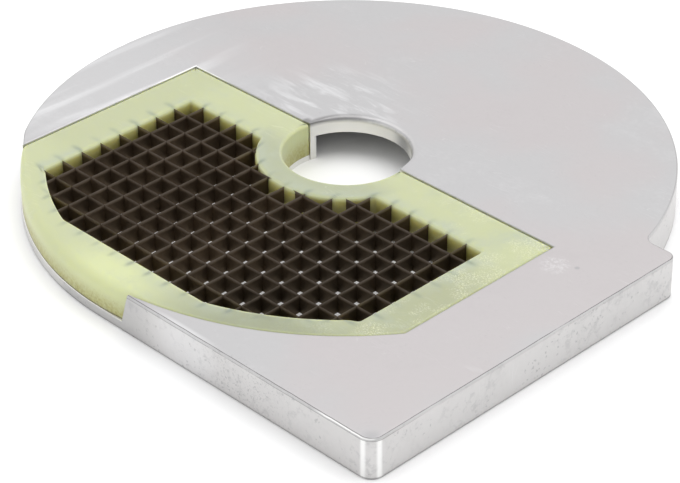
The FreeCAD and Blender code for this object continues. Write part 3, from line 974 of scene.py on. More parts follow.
        # Painted glow along the opening's top edge.
        painted_edge_glow = wire.math("MULTIPLY", wire.ramp(inner, 1.6, 0.0), wire.ramp(inner, 5.0, 3.0))
        colour = wire.mix(wire.math("MULTIPLY", painted_edge_glow, 0.45), colour, self.light)
        # Painted glow at the top of the opening's walls, then painted shade lower down.
        colour = wire.mix(wire.ramp(inner, 0.2, -2.6), colour, self.glow)
        return wire.mix(wire.ramp(inner, -1.8, -5.5), colour, self.deep_shade)

    def marked(
        self, wire: Wiring, effects: Effects, colour: bpy.types.NodeSocket
    ) -> tuple[bpy.types.NodeSocket, bpy.types.NodeSocket]:
        """Adds the blades' sunk ends, the scuffs, brown specks, scratches and a painted highlight along the opening's
        edge.

        Args:
            wire: wiring of the material.
            effects: shared node groups.
            colour: colour so far.

        Returns:
            The colour, and the share of scuffing.
        """
        x, y, z = axis_values(wire)
        inner = wire.mask(Mask.INNER_EDGE)
        uneven = wire.ramp(wire.noise(wire.place(), 70.0, 3.0, 0.6), 0.35, 0.65, 0.25, 1.0)
        sunk = wire.math("MULTIPLY", wire.mask(Mask.BLADE_ENDS), uneven)
        colour = wire.mix(wire.math("MULTIPLY", sunk, 0.64), colour, self.shade)
        patches = wire.ramp(wire.noise(wire.place(), 80.0, 3.0, 0.6), 0.45, 0.60)
        grains = wire.ramp(wire.noise(wire.place(), 1900.0, 5.0, 0.75), 0.47, 0.66)
        scuffed = wire.math("MULTIPLY", wire.math("MULTIPLY", grains, patches), self.scuffed_end(wire, x, y))
        colour = wire.mix(scuffed, colour, self.scuff)
        specks = wire.place_group(effects.flecks, Scale=950.0, Size=0.42, Cover=0.60).outputs["Mask"]
        low = wire.math("MULTIPLY", wire.ramp(z, self.top - 0.003, self.foot), wire.mask(Mask.ON_WALL))
        low = wire.math("MULTIPLY", low, wire.math("SUBTRACT", 1.0, spot(wire, (0.0, 0.0), 0.0240, 0.05)))
        colour = wire.mix(wire.math("MULTIPLY", specks, wire.math("MULTIPLY", low, 0.45)), colour, self.speck)
        lines = wire.place_group(effects.scratches, Density=1.0, Scale=60.0).outputs["Mask"]
        colour = wire.mix(wire.math("MULTIPLY", lines, 0.3), colour, self.scuff)
        # Light line along the opening's edge: a painted highlight.
        edge = wire.place_group(effects.edge_line, Distance=inner, Middle=0.0, Width=0.35, Unevenness=0.8)
        return wire.mix(wire.math("MULTIPLY", edge.outputs["Mask"], 0.25), colour, self.scuff), scuffed

    @staticmethod
    def scuffed_end(wire: Wiring, x: bpy.types.NodeSocket, y: bpy.types.NodeSocket) -> bpy.types.NodeSocket:
        """Share of scuffing: strong at the right end of the frame, where food is thrown on it.

        Args:
            wire: wiring of the material.
            x: place along the straight side, in metres.
            y: place across it.

        Returns:
            Number from 0 to 1 that grows with X and away from the opening and fades towards the near arc.
        """
        along = wire.ramp(x, 0.02, 0.072, 0.06, 1.0)
        away = wire.ramp(wire.mask(Mask.INNER_EDGE), 1.0, 5.0, 0.3, 1.0)
        return wire.math("MULTIPLY", wire.math("MULTIPLY", along, away), wire.ramp(y, -0.082, -0.066, 0.12, 1.0))


@dataclass(frozen=True)
class BladeSteel:
    """Dark tempered strip steel with a bevel from grinding that is lighter along the edge, partly bare steel and partly
    a painted highlight.
    """

    dark: tuple[float, float, float, float] = (0.112, 0.083, 0.055, 1.0)
    brown: tuple[float, float, float, float] = (0.180, 0.130, 0.080, 1.0)
    darker_right: tuple[float, float, float, float] = (0.045, 0.036, 0.024, 1.0)
    ground_and_sheen: tuple[float, float, float, float] = (0.24, 0.20, 0.165, 1.0)
    edge: float = 0.0133
    bevel: float = 0.001

    def build(self, effects: Effects) -> bpy.types.Material:
        """Makes the material.

        Args:
            effects: shared node groups.

        Returns:
            The material.
        """
        material, wire, shader = start_material(Finish.STEEL)
        clouds = wire.place_group(effects.mottling, Coarse=40.0, Middle=160.0, Fine=900.0).outputs["Value"]
        lines = wire.place_group(effects.scratches, Density=1.0, Scale=120.0).outputs["Mask"]
        x, _, _ = axis_values(wire)
        colour = wire.mix(wire.ramp(clouds, -0.2, 0.5), self.dark, self.brown)
        # Darker towards +X.
        colour = wire.mix(wire.ramp(x, 0.0, 0.05, 0.0, 0.45), colour, self.darker_right)
        # The bevel along the cutting edge is lighter: partly bare steel, partly a painted highlight.
        rubbed_and_sheen = wire.ramp(wire.height(), self.edge - self.bevel, self.edge - 0.0001)
        uneven = wire.ramp(clouds, -0.6, 0.3, 0.45, 1.0)
        colour = wire.mix(wire.math("MULTIPLY", rubbed_and_sheen, uneven), colour, self.ground_and_sheen)
        colour = wire.mix(wire.math("MULTIPLY", lines, 0.12), colour, self.ground_and_sheen)
        wire.feed(shader.inputs["Base Color"], colour)
        shader.inputs["Metallic"].default_value = 0.85
        rough = wire.math("ADD", 0.42, wire.math("MULTIPLY", clouds, 0.25))
        wire.feed(shader.inputs["Roughness"], rough)
        bump = wire.add("ShaderNodeBump")
        bump.inputs["Strength"].default_value = 0.25
        bump.inputs["Distance"].default_value = 0.00005
        wire.feed(bump.inputs["Height"], clouds)
        wire.feed(shader.inputs["Normal"], bump.outputs[0])
        return material


# Sub-assemblies


@dataclass
class GridPlan:
    """Plan sizes that the plastic frame, its floor and the casting share, in millimetres."""

    disc_radius: float = 106.8
    height: float = 14.0
    draft: float = 0.15
    frame_left: float = -76.9
    frame_right: float = 85.75
    frame_straight: float = 3.3
    frame_arc: float = 105.6
    clearance: float = 0.25
    opening_left: float = -60.6
    opening_right: float = 71.6
    opening_far: float = -13.7
    opening_near: float = -91.85
    opening_arc: float = 97.4
    bore_radius: float = 21.0
    boss_radius: float = 29.8
    tip_x: float = 13.4
    spacing: float = 0.62

    def counts(self) -> dict[str, int]:
        """Number of stations in each stretch of the loops, from the longer side's length."""
        straight_left = -self.frame_left - self.bore_radius
        straight_right = self.frame_right - self.bore_radius
        side = self.frame_straight + on_arc(self.frame_arc, self.frame_left)
        lengths = {
            "left_straight": straight_left,
            "bore": math.pi * self.boss_radius,
            "right_straight": straight_right,
            "right_side": side,
            "arc": math.radians(100) * self.frame_arc,
            "left_side": side,
        }
        return {name: int(length / self.spacing) for name, length in lengths.items()}

    def outer_loop(self, margin: float, arc_margin: float) -> Points:
        """Closed outline of the frame with the bore's notch.

        Args:
            margin: growth of its three straight sides.
            arc_margin: growth of its arc.

        Returns:
            Points anticlockwise from the far left corner, with small rounded corners.
        """
        count = self.counts()
        left = self.frame_left - margin
        right = self.frame_right + margin
        far = self.frame_straight + margin
        radius = self.frame_arc + arc_margin
        bore_x = on_arc(self.bore_radius, far)
        right_near = -on_arc(radius, right)
        left_near = -on_arc(radius, left)
        first = angle_of(-bore_x, far)
        path = np.concatenate([
            straight((left, far), (-bore_x, far), count["left_straight"]),
            arc((0, 0), self.bore_radius, first, 540 - first, count["bore"]),
            straight((bore_x, far), (right, far), count["right_straight"]),
            straight((right, far), (right, right_near), count["right_side"]),
            arc((0, 0), radius, angle_of(right, right_near), angle_of(left, left_near), count["arc"]),
            straight((left, left_near), (left, far), count["left_side"]),
        ])
        return soften(path, 2, True)

    def opening_loop(self, margin: float) -> Points:
        """Closed outline of the opening, with as many stations as the outer loop.

        Args:
            margin: growth all round.

        Returns:
            Points from the far left corner, in step with outer_loop. Along the arc the distance from the
            axis is the smaller of the arc's radius and near / |sin a|, which is the straight near side.
        """
        count = self.counts()
        left = self.opening_left - margin
        right = self.opening_right + margin
        far = self.opening_far + margin
        radius = self.opening_arc + margin
        boss = self.boss_radius - margin
        near = -self.opening_near + margin
        boss_x = on_arc(boss, far)
        first = angle_of(right, -on_arc(radius, right))
        last = angle_of(left, -on_arc(radius, left))
        angle = np.radians(first + (last - first) * np.arange(count["arc"]) / count["arc"])
        reach = np.minimum(radius, near / np.maximum(np.abs(np.sin(angle)), 1e-6))
        curved = reach[:, None] * np.stack([np.cos(angle), np.sin(angle)], 1)
        start = angle_of(-boss_x, far) % 360
        path = np.concatenate([
            straight((left, far), (-boss_x, far), count["left_straight"]),
            arc((0, 0), boss, start, 540 - start, count["bore"]),
            straight((boss_x, far), (right, far), count["right_straight"]),
            straight((right, far), (right, -on_arc(radius, right)), count["right_side"]),
            curved,
            straight((left, -on_arc(radius, left)), (left, far), count["left_side"]),
        ])
        return soften(path, 2, True)

    def on_stretch(self, name: str, fade: int) -> Points:
        """Share by which each station lies on one stretch of the loops.

        Args:
            name: name of the stretch.
            fade: number of stations over which it fades in and out.

        Returns:
            One number for each station, from 0 to 1.
        """
        count = self.counts()
        names = list(count)
        start = sum(count[other] for other in names[:names.index(name)])
        total = sum(count.values())
        station = np.arange(total)
        inside = np.minimum(station - start, start + count[name] - 1 - station)
        return smoothstep(0, fade, inside.astype(float) + 1)


@dataclass
class PlasticFrame:
    """Moulded frame round the opening: a ring whose section runs from its outer to its inner wall."""

    plan: GridPlan
    top: float = 13.75
    bottom: float = 2.0
    ledge: float = 3.3
    ledge_step: float = 2.6
    outer_round: float = 4.0
    edge_round: float = 1.1
    inner_round: float = 1.7
    near_round: float = 0.35
    across: int = 22
    pitch: float = 8.0
    cross_first: float = -54.6
    long_first: float = -20.85
    cross_count: int = 16
    long_count: int = 9
    cross_embed: float = 4.8
    long_embed: float = 6.5
    smudge_width: float = 0.85

    def roundings(self, outer: Points) -> tuple[Points, Points]:
        """Radius of the outer and of the inner top edge at each station.

        Args:
            outer: outer loop.

        Returns:
            The outer edge is rounded most where the arc stands free of the block, and the inner edge
            least along the near side.
        """
        exposed = self.plan.on_stretch("arc", 36) * smoothstep(26.0, 6.0, outer[:, 0])
        rounding = self.edge_round + (self.outer_round - self.edge_round) * exposed
        near = self.plan.on_stretch("arc", 8)
        return rounding, self.inner_round + (self.near_round - self.inner_round) * near

    def build_rows(self) -> Rows:
        """Works out the surface.

        Returns:
            Rows of the section. A point is the outer loop plus its normal times an offset, or the inner
            loop likewise, and on the top a straight mix of the two.
        """
        outer = self.plan.outer_loop(0.0, 0.0)
        inner = self.plan.opening_loop(0.0)
        outer_in = side_normals(outer, True, False)
        outer_in = outer_in * np.sign(((inner - outer) * outer_in).sum(1).mean())
        inner_in = side_normals(inner, True, True)
        inner_in = inner_in * np.sign(((outer - inner) * inner_in).sum(1).mean())
        rounding, inner_round = self.roundings(outer)
        step = self.ledge_step * self.plan.on_stretch("arc", 3)
        low = np.where(step > 0.01, self.ledge, self.bottom)
        rows = Rows(len(outer))

        def off(base: Points, normal: Points, offset: object) -> Points:
            """Places at an offset from a loop along its normals."""
            return base + normal * np.broadcast_to(np.asarray(offset, float), (len(base),))[:, None]

        rows.keep(off(outer, outer_in, step), self.bottom, -FAR_OFF, FAR_OFF, 1.0)
        rows.keep(off(outer, outer_in, step), low, -FAR_OFF, FAR_OFF, 1.0)
        for part in (0.0, 0.12, 0.25, 0.38, 0.51, 0.64, 0.77, 0.89):
            height = low + (self.top - rounding - low) * part
            rows.keep(outer, height, height - self.top, FAR_OFF, 1.0)
        for turn in np.linspace(0, math.pi / 2, 10):
            offset = rounding * (1 - math.cos(turn))
            height = self.top - rounding * (1 - math.sin(turn))
            rows.keep(off(outer, outer_in, offset), height, offset - (self.top - height), FAR_OFF, math.cos(turn))
        edge_out = off(outer, outer_in, rounding)
        edge_in = off(inner, inner_in, inner_round)
        width = np.linalg.norm(edge_in - edge_out, axis=1)
        for part in np.linspace(0, 1, self.across + 2)[1:-1]:
            flat = edge_out + (edge_in - edge_out) * part
            rows.keep(flat, self.top, rounding + width * part, inner_round + width * (1 - part), 0.0)
        for turn in np.linspace(math.pi / 2, 0, 8):
            offset = inner_round * (1 - math.cos(turn))
            height = self.top - inner_round * (1 - math.sin(turn))
            rows.keep(off(inner, inner_in, offset), height, FAR_OFF, offset - (self.top - height), math.cos(turn))
        inner_top = self.top - inner_round
        for part in np.linspace(0.08, 1.0, 12):
            height = inner_top + (self.bottom - inner_top) * part
            rows.keep(inner, height, FAR_OFF, height - self.top, 1.0)
        base = off(outer, outer_in, step)
        for part in (0.35, 0.7):
            rows.keep(inner + (base - inner) * part, self.bottom, FAR_OFF, -FAR_OFF, 1.0)
        return rows

    def blade_ends(self, points: Points) -> Points:
        """How strongly the sunk end of a blade shows through the plastic at each point.

        Args:
            points: vertices in millimetres.

        Returns:
            The bell exp(-(d / width)^2) of the distance d to the nearest blade line, for points that lie
            less than the sunk length beyond the opening in that blade's direction, weaker with depth.
        """
        x, y = points[:, 0], points[:, 1]
        plan = self.plan
        round_near = np.sqrt(np.maximum(plan.opening_arc**2 - x * x, 0))
        near = np.maximum(plan.opening_near, -round_near)
        boss = np.sqrt(np.maximum(plan.boss_radius**2 - x * x, 0))
        far = np.where(np.abs(x) < plan.boss_radius, np.minimum(plan.opening_far, -boss), plan.opening_far)
        side = np.sqrt(np.maximum(plan.opening_arc**2 - y * y, 0))
        left = np.maximum(plan.opening_left, -side)
        right = np.minimum(plan.opening_right, side)
        beyond_y = np.maximum(y - far, near - y)
        beyond_x = np.maximum(x - right, left - x)
        cross = self.line_bell(x, self.cross_first, self.cross_count)
        along = self.line_bell(-y, -self.long_first, self.long_count)
        cross = cross * smoothstep(-0.3, 0.5, beyond_y) * smoothstep(self.cross_embed, self.cross_embed - 3.2, beyond_y)
        along = along * smoothstep(-0.3, 0.5, beyond_x) * smoothstep(self.long_embed, self.long_embed - 4.0, beyond_x)
        depth = smoothstep(self.bottom, self.top - 3.0, points[:, 2])
        return np.maximum(cross, along) * depth

    def line_bell(self, place: Points, first: float, count: int) -> Points:
        """Bell about the nearest of evenly spaced lines.

        Args:
            place: coordinate across the lines.
            first: place of the first line.
            count: number of lines.

        Returns:
            exp(-(d / width)^2), with d the distance to the nearest line.
        """
        number = np.clip(np.round((place - first) / self.pitch), 0, count - 1)
        distance = place - first - number * self.pitch
        return np.exp(-((distance / self.smudge_width) ** 2))

    def build(self, material: bpy.types.Material) -> bpy.types.Object:
        """Makes the frame.

        Args:
            material: its finish.

        Returns:
            The object that stands for the CAD node.
        """
        rows = self.build_rows()
        grid = rows.grid()
        stations, places = grid.shape[:2]
        points = grid.reshape(-1, 3)
        faces = outward(points, grid_faces(stations, places, True, True))
        piece = make_piece("plastic_frame_moulded", points, faces, "plastic_frame")
        piece.data.materials.append(material)
        store(piece, Mask.BLADE_ENDS, self.blade_ends(points))
        for mask, values in rows.masks().items():
            store(piece, mask, values)
        close_seams(piece, 50)
        return piece


@dataclass
class BladeLattice:
    """Crossed blade strips, which keep their CAD shape."""

    prefixes: tuple[str, ...] = ("cross_blade_", "long_blade_")

    def dress(self, material: bpy.types.Material) -> int:
        """Gives every strip its finish.

        Args:
            material: the steel.

        Returns:
            Number of strips.
        """
        strips = [piece for name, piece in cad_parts.items() if name.startswith(self.prefixes)]
        for piece in strips:
            assign(piece, material)
        return len(strips)


def assign(piece: bpy.types.Object, material: bpy.types.Material) -> None:
    """Puts one material in every slot of a CAD node."""
    if not piece.material_slots:
        piece.data.materials.append(material)
    for slot in piece.material_slots:
        slot.material = material


@dataclass
class CastBody:
    """Cast aluminium disc with its square block: a C-shaped band round the pocket, and the pocket's floor."""

    plan: GridPlan
    block_side_x: float = 116.1
    block_side_y: float = -105.85
    block_end_y: float = 26.0
    front_round: float = 4.5
    back_round: float = 3.5
    neck_round: float = 4.0
    top_round: float = 0.65
    slight_round: float = 0.38
    foot_round: float = 0.5
    pocket_round: float = 0.45
    lip_round: float = 1.9
    corner_round: float = 0.15
    plate_bottom: float = 8.5
    rim_wall: float = 3.6
    web_wall: float = 2.2
    floor_top: float = 2.0
    ledge_top: float = 3.3
    ledge_width: float = 2.6
    floor_setback: float = 1.2
    end_radius: float = 105.75
    tip_lean: float = 3.2
    tip_foot: float = -2.2
    spacing: float = 0.62

    def steps(self, *lengths: float) -> int:
        """Number of stations for the longest of some lengths."""
        return max(6, int(max(lengths) / self.spacing))

    def band_paths(self) -> tuple[Points, Points, Points]:
        """Outer and inner path of the band, from the block's tip round the disc to its left end.

        Returns:
            Both paths in step, and for each station 1 on the bore and 0 elsewhere. The stations at the
            bore's two corners are doubled, once for the straight side and once for the bore.
        """
        plan = self.plan
        side_x, side_y, end_y = self.block_side_x, self.block_side_y, self.block_end_y
        left, right = plan.frame_left - plan.clearance, plan.frame_right + plan.clearance
        far = plan.frame_straight + plan.clearance
        pocket = plan.frame_arc + plan.clearance
        front, back, neck = self.front_round, self.back_round, self.neck_round
        bore_x = on_arc(plan.bore_radius, far)
        bore_angle = angle_of(bore_x, far)
        neck_y = end_y + neck
        neck_x = on_arc(plan.disc_radius + neck, neck_y)
        neck_angle = angle_of(neck_x, neck_y)
        start_angle = angle_of(plan.tip_x, -on_arc(pocket, plan.tip_x))
        corner_angle = angle_of(right, -on_arc(pocket, right))
        end_angle = 360 + angle_of(left, -on_arc(self.end_radius, left))
        outer: list[Points] = []
        inner: list[Points] = []
        bore: list[Points] = []

        def add(count: int, outside: Points, inside: Points, on_bore: float) -> None:
            """Adds one stretch of both paths."""
            outer.append(outside)
            inner.append(inside)
            bore.append(np.full(count, on_bore))

        count = self.steps(side_x - front - plan.tip_x)
        add(count, straight((plan.tip_x, side_y), (side_x - front, side_y), count),
            arc((0, 0), pocket, start_angle, -48, count), 0)
        count = 24
        add(count, arc((side_x - front, side_y + front), front, -90, 0, count),
            arc((0, 0), pocket, -48, -42, count), 0)
        turn_y = -on_arc(pocket, right) - 4.0
        count = self.steps(turn_y - side_y)
        add(count, straight((side_x, side_y + front), (side_x, turn_y), count),
            arc((0, 0), pocket, -42, corner_angle, count), 0)
        count = self.steps(far - turn_y)
        add(count, straight((side_x, turn_y), (side_x, far), count),
            straight((right, -on_arc(pocket, right)), (right, far), count), 0)
        count = self.steps(end_y - back - far)
        add(count, straight((side_x, far), (side_x, end_y - back), count),
            straight((right, far), (right - 14, far), count), 0)
        count = 20
        add(count, arc((side_x - back, end_y - back), back, 0, 90, count),
            straight((right - 14, far), (right - 18, far), count), 0)
        count = 10
        add(count, straight((side_x - back, end_y), (neck_x, end_y), count),
            straight((right - 18, far), (right - 22, far), count), 0)
        count = 16
        add(count, arc((neck_x, neck_y), neck, -90, neck_angle - 180, count),
            straight((right - 22, far), (right - 26, far), count), 0)
        radius = plan.disc_radius
        count = self.steps(math.radians(60 - neck_angle) * radius)
        add(count + 1, np.concatenate([arc((0, 0), radius, neck_angle, 60, count), arc((0, 0), radius, 60, 61, 1)]),
            np.concatenate([straight((right - 26, far), (bore_x, far), count), [[bore_x, far]]]), 0)
        count = self.steps(math.radians(70) * radius)
        add(count + 1, np.concatenate([arc((0, 0), radius, 60, 130, count), arc((0, 0), radius, 130, 131, 1)]),
            np.concatenate([arc((0, 0), plan.bore_radius, bore_angle, 180 - bore_angle, count), [[-bore_x, far]]]), 1)
        count = self.steps(math.radians(48) * radius)
        add(count, arc((0, 0), radius, 130, 178, count), straight((-bore_x, far), (left, far), count), 0)
        count = self.steps(math.radians(end_angle - 178) * radius)
        end = (left, -on_arc(self.end_radius, left))
        last_arc = arc((0, 0), 1.0, 178, end_angle, count)
        drawn_in = radius - (radius - self.end_radius) * smoothstep(0.88, 1.0, np.arange(count) / count)
        add(count + 1, np.concatenate([last_arc * drawn_in[:, None], [end]]),
            np.concatenate([straight((left, far), end, count), [end]]), 0)
        return np.concatenate(outer), np.concatenate(inner), np.concatenate(bore)

    def inner_normals(self, inner: Points, bore: Points) -> tuple[Points, Points]:
        """Normals of the band's inner path into the metal, worked out apart on the bore and beside it.

        Args:
            inner: inner path.
            bore: 1 on the bore.

        Returns:
            Ways in which the edge and the web are offset. At a corner of the bore the edge follows the
            mitre, the mean of both normals over the cosine of half their angle, and the web ends on the bore.
        """
        on_bore = bore > 0.5
        first = int(np.argmax(on_bore))
        last = first + int(on_bore.sum())
        parts = [side_normals(inner[span], False, False) for span in (slice(0, first), slice(first, last), slice(last, None))]
        normals = np.concatenate(parts)
        web = normals.copy()
        slant = 0.226
        web[first - 1] = (-slant, 1.0)
        web[last] = (slant, 1.0)
        away = np.arange(last - first)
        for way, steps in ((web[first - 1], away), (web[last], away[::-1])):
            share = smoothstep(10.0, 0.0, steps)[:, None]
            web[first:last] = web[first:last] * (1 - share) + way * share
        for before, after in ((first - 1, first), (last - 1, last)):
            mean = (normals[before] + normals[after]) / 2
            mitre = mean / (mean @ mean)
            normals[before] = mitre
            normals[after] = mitre
        return normals, web

    def lip_radii(self, bore: Points) -> Points:
        """Rounding of the band's inner top edge at each station.

        Args:
            bore: 1 on the bore.

        Returns:
            The pocket's rounding on the straight sides and the lip's on the bore. Both fall to the
            corner's rounding at the bore's two corners, so that neighbouring sections don't cross.
        """
        on_bore = bore > 0.5
        first = int(np.argmax(on_bore))
        last = first + int(on_bore.sum())
        station = np.arange(len(bore))
        away = np.where(station < first, first - 1 - station, np.minimum(station - first, last - 1 - station))
        away = np.where(station >= last, station - last, away)
        full = np.where(on_bore, self.lip_round, self.pocket_round)
        reach = np.where(on_bore, smoothstep(1, 42, away), smoothstep(0, 6, away))
        return self.corner_round + (full - self.corner_round) * reach

    def band_rows(self) -> tuple[Rows, Points]:
        """Works out the band.

        Returns:
            Rows of its section, which is a channel: foot and wall of the rim, top round, plate, inner
            edge, inner wall, web and underside. Offsets shrink where the band is narrow.
        """
        outer, inner, bore = self.band_paths()
        outer_in = side_normals(outer, False, True)
        inner_in, web_in = self.inner_normals(inner, bore)
        width = np.linalg.norm(inner - outer, axis=1)
        stations = len(outer)
        fit = np.clip(width / (self.top_round + self.pocket_round + 0.3), 0, 1)
        legs = np.clip(width / (self.rim_wall + self.web_wall + 1.0), 0, 1)
        lip = self.lip_radii(bore) * fit
        worn = smoothstep(-78.0, -98.0, outer[:, 1])
        top_round = (self.slight_round + (self.top_round - self.slight_round) * worn) * fit
        foot_round = self.foot_round * fit
        height = self.plan.height
        rows = Rows(stations)

        def out(offset: object) -> Points:
            """Places off the outer path, into the metal."""
            return outer + outer_in * np.broadcast_to(np.asarray(offset, float), (stations,))[:, None]

        def into(offset: object) -> Points:
            """Places off the inner path, into the metal."""
            return inner + inner_in * np.broadcast_to(np.asarray(offset, float), (stations,))[:, None]

        def under(offset: object) -> Points:
            """Places off the inner path, for the web."""
            return inner + web_in * np.broadcast_to(np.asarray(offset, float), (stations,))[:, None]

        def sloped(level: object) -> Points:
            """Outward growth of the wall by its draft."""
            return -self.plan.draft * (1 - np.asarray(level) / height)

        for turn in np.linspace(0, math.pi / 2, 5):
            level = foot_round * (1 - math.cos(turn))
            offset = foot_round * (1 - math.sin(turn)) + sloped(level)
            rows.keep(out(offset), level, level - height, FAR_OFF, 1.0)
        shoulder = height - top_round
        for part in np.linspace(0.08, 0.94, 11):
            level = foot_round + (shoulder - foot_round) * part
            rows.keep(out(sloped(level)), level, level - height, FAR_OFF, 1.0)
        for turn in np.linspace(0, math.pi / 2, 8):
            offset = top_round * (1 - math.cos(turn))
            level = height - top_round * (1 - math.sin(turn))
            rows.keep(out(offset + sloped(level)), level, offset - (height - level), FAR_OFF, math.cos(turn))
        edge_out = out(top_round)
        edge_in = into(lip)
        near = np.clip(width / 9.0, 0, 1)
        room = np.linalg.norm(edge_in - edge_out, axis=1)
        bands = [(edge_out + (out(reach * near) - edge_out), reach * near) for reach in (0.9, 1.4, 2.4)]
        for flat, distance in bands:
            rows.keep(np.where((width > 9)[:, None], flat, edge_out + (edge_in - edge_out) * (distance / 9)[:, None]),
                      height, np.where(width > 9, distance, top_round + room * distance / 9), FAR_OFF, 0.0)
        start = rows.points[-1][:, :2]
        for part in np.linspace(0, 1, 16)[1:-1]:
            flat = start + (edge_in - start) * part
            gap = np.linalg.norm(edge_in - flat, axis=1)
            rows.keep(flat, height, 3.0 + 20 * part, lip + gap, 0.0)
        span = np.linalg.norm(edge_in - start, axis=1)
        held = np.clip(1 - 0.35 / np.maximum(span, 0.001), 0.95, 0.995)
        rows.keep(start + (edge_in - start) * held[:, None], height, 3.0 + 20 * held, lip + span * (1 - held), 0.0)
        for turn in np.linspace(math.pi / 2, 0, 7):
            offset = lip * (1 - math.cos(turn))
            level = height - lip * (1 - math.sin(turn))
            rows.keep(into(offset), level, FAR_OFF, offset - (height - level), math.cos(turn))
        inner_foot = self.plate_bottom * bore
        for part in np.linspace(0.1, 1.0, 9):
            level = height - lip + (inner_foot - height + lip) * part
            rows.keep(into(0.0), level, FAR_OFF, level - height, 1.0)
        web = np.minimum(self.web_wall * legs, width)
        rim = self.rim_wall * legs
        rows.keep(under(web * 0.5), inner_foot, -FAR_OFF, -8.0, 1.0)
        rows.keep(under(web), inner_foot, -FAR_OFF, -8.0, 1.0)
        rows.keep(under(web), self.plate_bottom, -FAR_OFF, -FAR_OFF, 1.0)
        for part in (0.33, 0.66):
            rows.keep(under(web) + (out(rim) - under(web)) * part, self.plate_bottom, -FAR_OFF, -FAR_OFF, 1.0)
        rows.keep(out(rim), self.plate_bottom, -FAR_OFF, -FAR_OFF, 1.0)
        rows.keep(out(rim), self.plate_bottom * 0.5, -FAR_OFF, -FAR_OFF, 1.0)
        rows.keep(out(rim), 0.0, -FAR_OFF, -FAR_OFF, 1.0)
        rows.keep(out(np.maximum(rim * 0.5, foot_round)), 0.0, -FAR_OFF, -FAR_OFF, 1.0)
        return rows, np.linalg.norm(outer - outer[0], axis=1)

    def band_grid(self) -> tuple[Points, Rows]:
        """Points of the band, with the tip's end leaning and closed.

        Returns:
            Stations by places by 3, with one more station in front, where the section is drawn
            together on its middle line, and the rows.
        """
        rows, run = self.band_rows()
        grid = rows.grid()
        high = np.clip((grid[:, :, 2] - self.ledge_top) / (self.plan.height - self.ledge_top), 0, 1)
        lean = self.tip_foot + self.tip_lean * high
        grid[:, :, 0] += lean * smoothstep(9.0, 0.0, run)[:, None]
        cap = grid[0].copy()
        cap[:, 1] = cap[:, 1].mean()
        grid = np.concatenate([cap[None], grid])
        return grid, rows

    def floor_grid(self) -> tuple[Points, Rows]:
        """Points of the pocket's floor with the ledge along its arc.

        Returns:
            Stations by places by 3 and the rows. Between the axis and the tip the ledge's wall runs
            straight in the block's side: its distance from the axis is side / |sin a|.
        """
        plan = self.plan
        joint = 0.02
        outer = plan.outer_loop(plan.clearance + joint, plan.clearance - joint)
        angle = np.arctan2(outer[:, 1], outer[:, 0])
        arc_share = plan.on_stretch("arc", 2)
        radius = np.linalg.norm(outer, axis=1)
        side = (-self.block_side_y - 0.01) / np.maximum(np.abs(np.sin(angle)), 1e-6)
        in_side = (arc_share > 0.99) & (outer[:, 0] > 0) & (outer[:, 0] < plan.tip_x + 3)
        reach = np.where(in_side, side, radius)
        outer = outer * (reach / np.maximum(radius, 1e-6))[:, None]
        inner = plan.opening_loop(self.floor_setback)
        outer_in = side_normals(outer, True, False)
        outer_in = outer_in * np.sign(((inner - outer) * outer_in).sum(1).mean())
        free = (arc_share > 0.99) & (outer[:, 0] < plan.tip_x + 2.5)
        edge = 0.25 * free
        foot = self.foot_round * free
        top = np.where(arc_share > 0.5, self.ledge_top, self.floor_top)
        step = self.ledge_width * arc_share
        rows = Rows(len(outer))

        def off(offset: object) -> Points:
            """Places off the outer loop."""
            return outer + outer_in * np.broadcast_to(np.asarray(offset, float), (len(outer),))[:, None]

        def sloped(level: Points) -> Points:
            """Outward growth of the ledge's wall by its draft."""
            return -plan.draft * (1 - level / plan.height) * free

        for turn in np.linspace(0, math.pi / 2, 5):
            level = foot * (1 - math.cos(turn))
            rows.keep(off(foot * (1 - math.sin(turn)) + sloped(level)), level, level - plan.height, FAR_OFF, 1.0)
        for part in (0.3, 0.65):
            level = foot + (top - edge - foot) * part
            rows.keep(off(sloped(level)), level, level - plan.height, FAR_OFF, 1.0)
        for turn in np.linspace(0, math.pi / 2, 5):
            level = top - edge * (1 - math.sin(turn))
            bright = np.where(free, -1.3, -FAR_OFF)
            rows.keep(off(edge * (1 - math.cos(turn)) + sloped(level)), level, bright, FAR_OFF, 1.0)
        rows.keep(off(step * 0.5 + edge), top, -FAR_OFF, FAR_OFF, 1.0)
        rows.keep(off(step + edge), top, -FAR_OFF, FAR_OFF, 1.0)
        rows.keep(off(step + edge), self.floor_top, -FAR_OFF, FAR_OFF, 1.0)
        base = off(step + edge)
        for part in (0.33, 0.66):
            rows.keep(base + (inner - base) * part, self.floor_top, -FAR_OFF, FAR_OFF, 1.0)
        rows.keep(inner, self.floor_top, -FAR_OFF, FAR_OFF, 1.0)
        rows.keep(inner, self.floor_top * 0.5, -FAR_OFF, FAR_OFF, 1.0)
        rows.keep(inner, 0.0, -FAR_OFF, FAR_OFF, 1.0)
        start = off(foot)
        for part in (0.33, 0.66):
            rows.keep(inner + (start - inner) * part, 0.0, -FAR_OFF, FAR_OFF, 1.0)
        return rows.grid(), rows

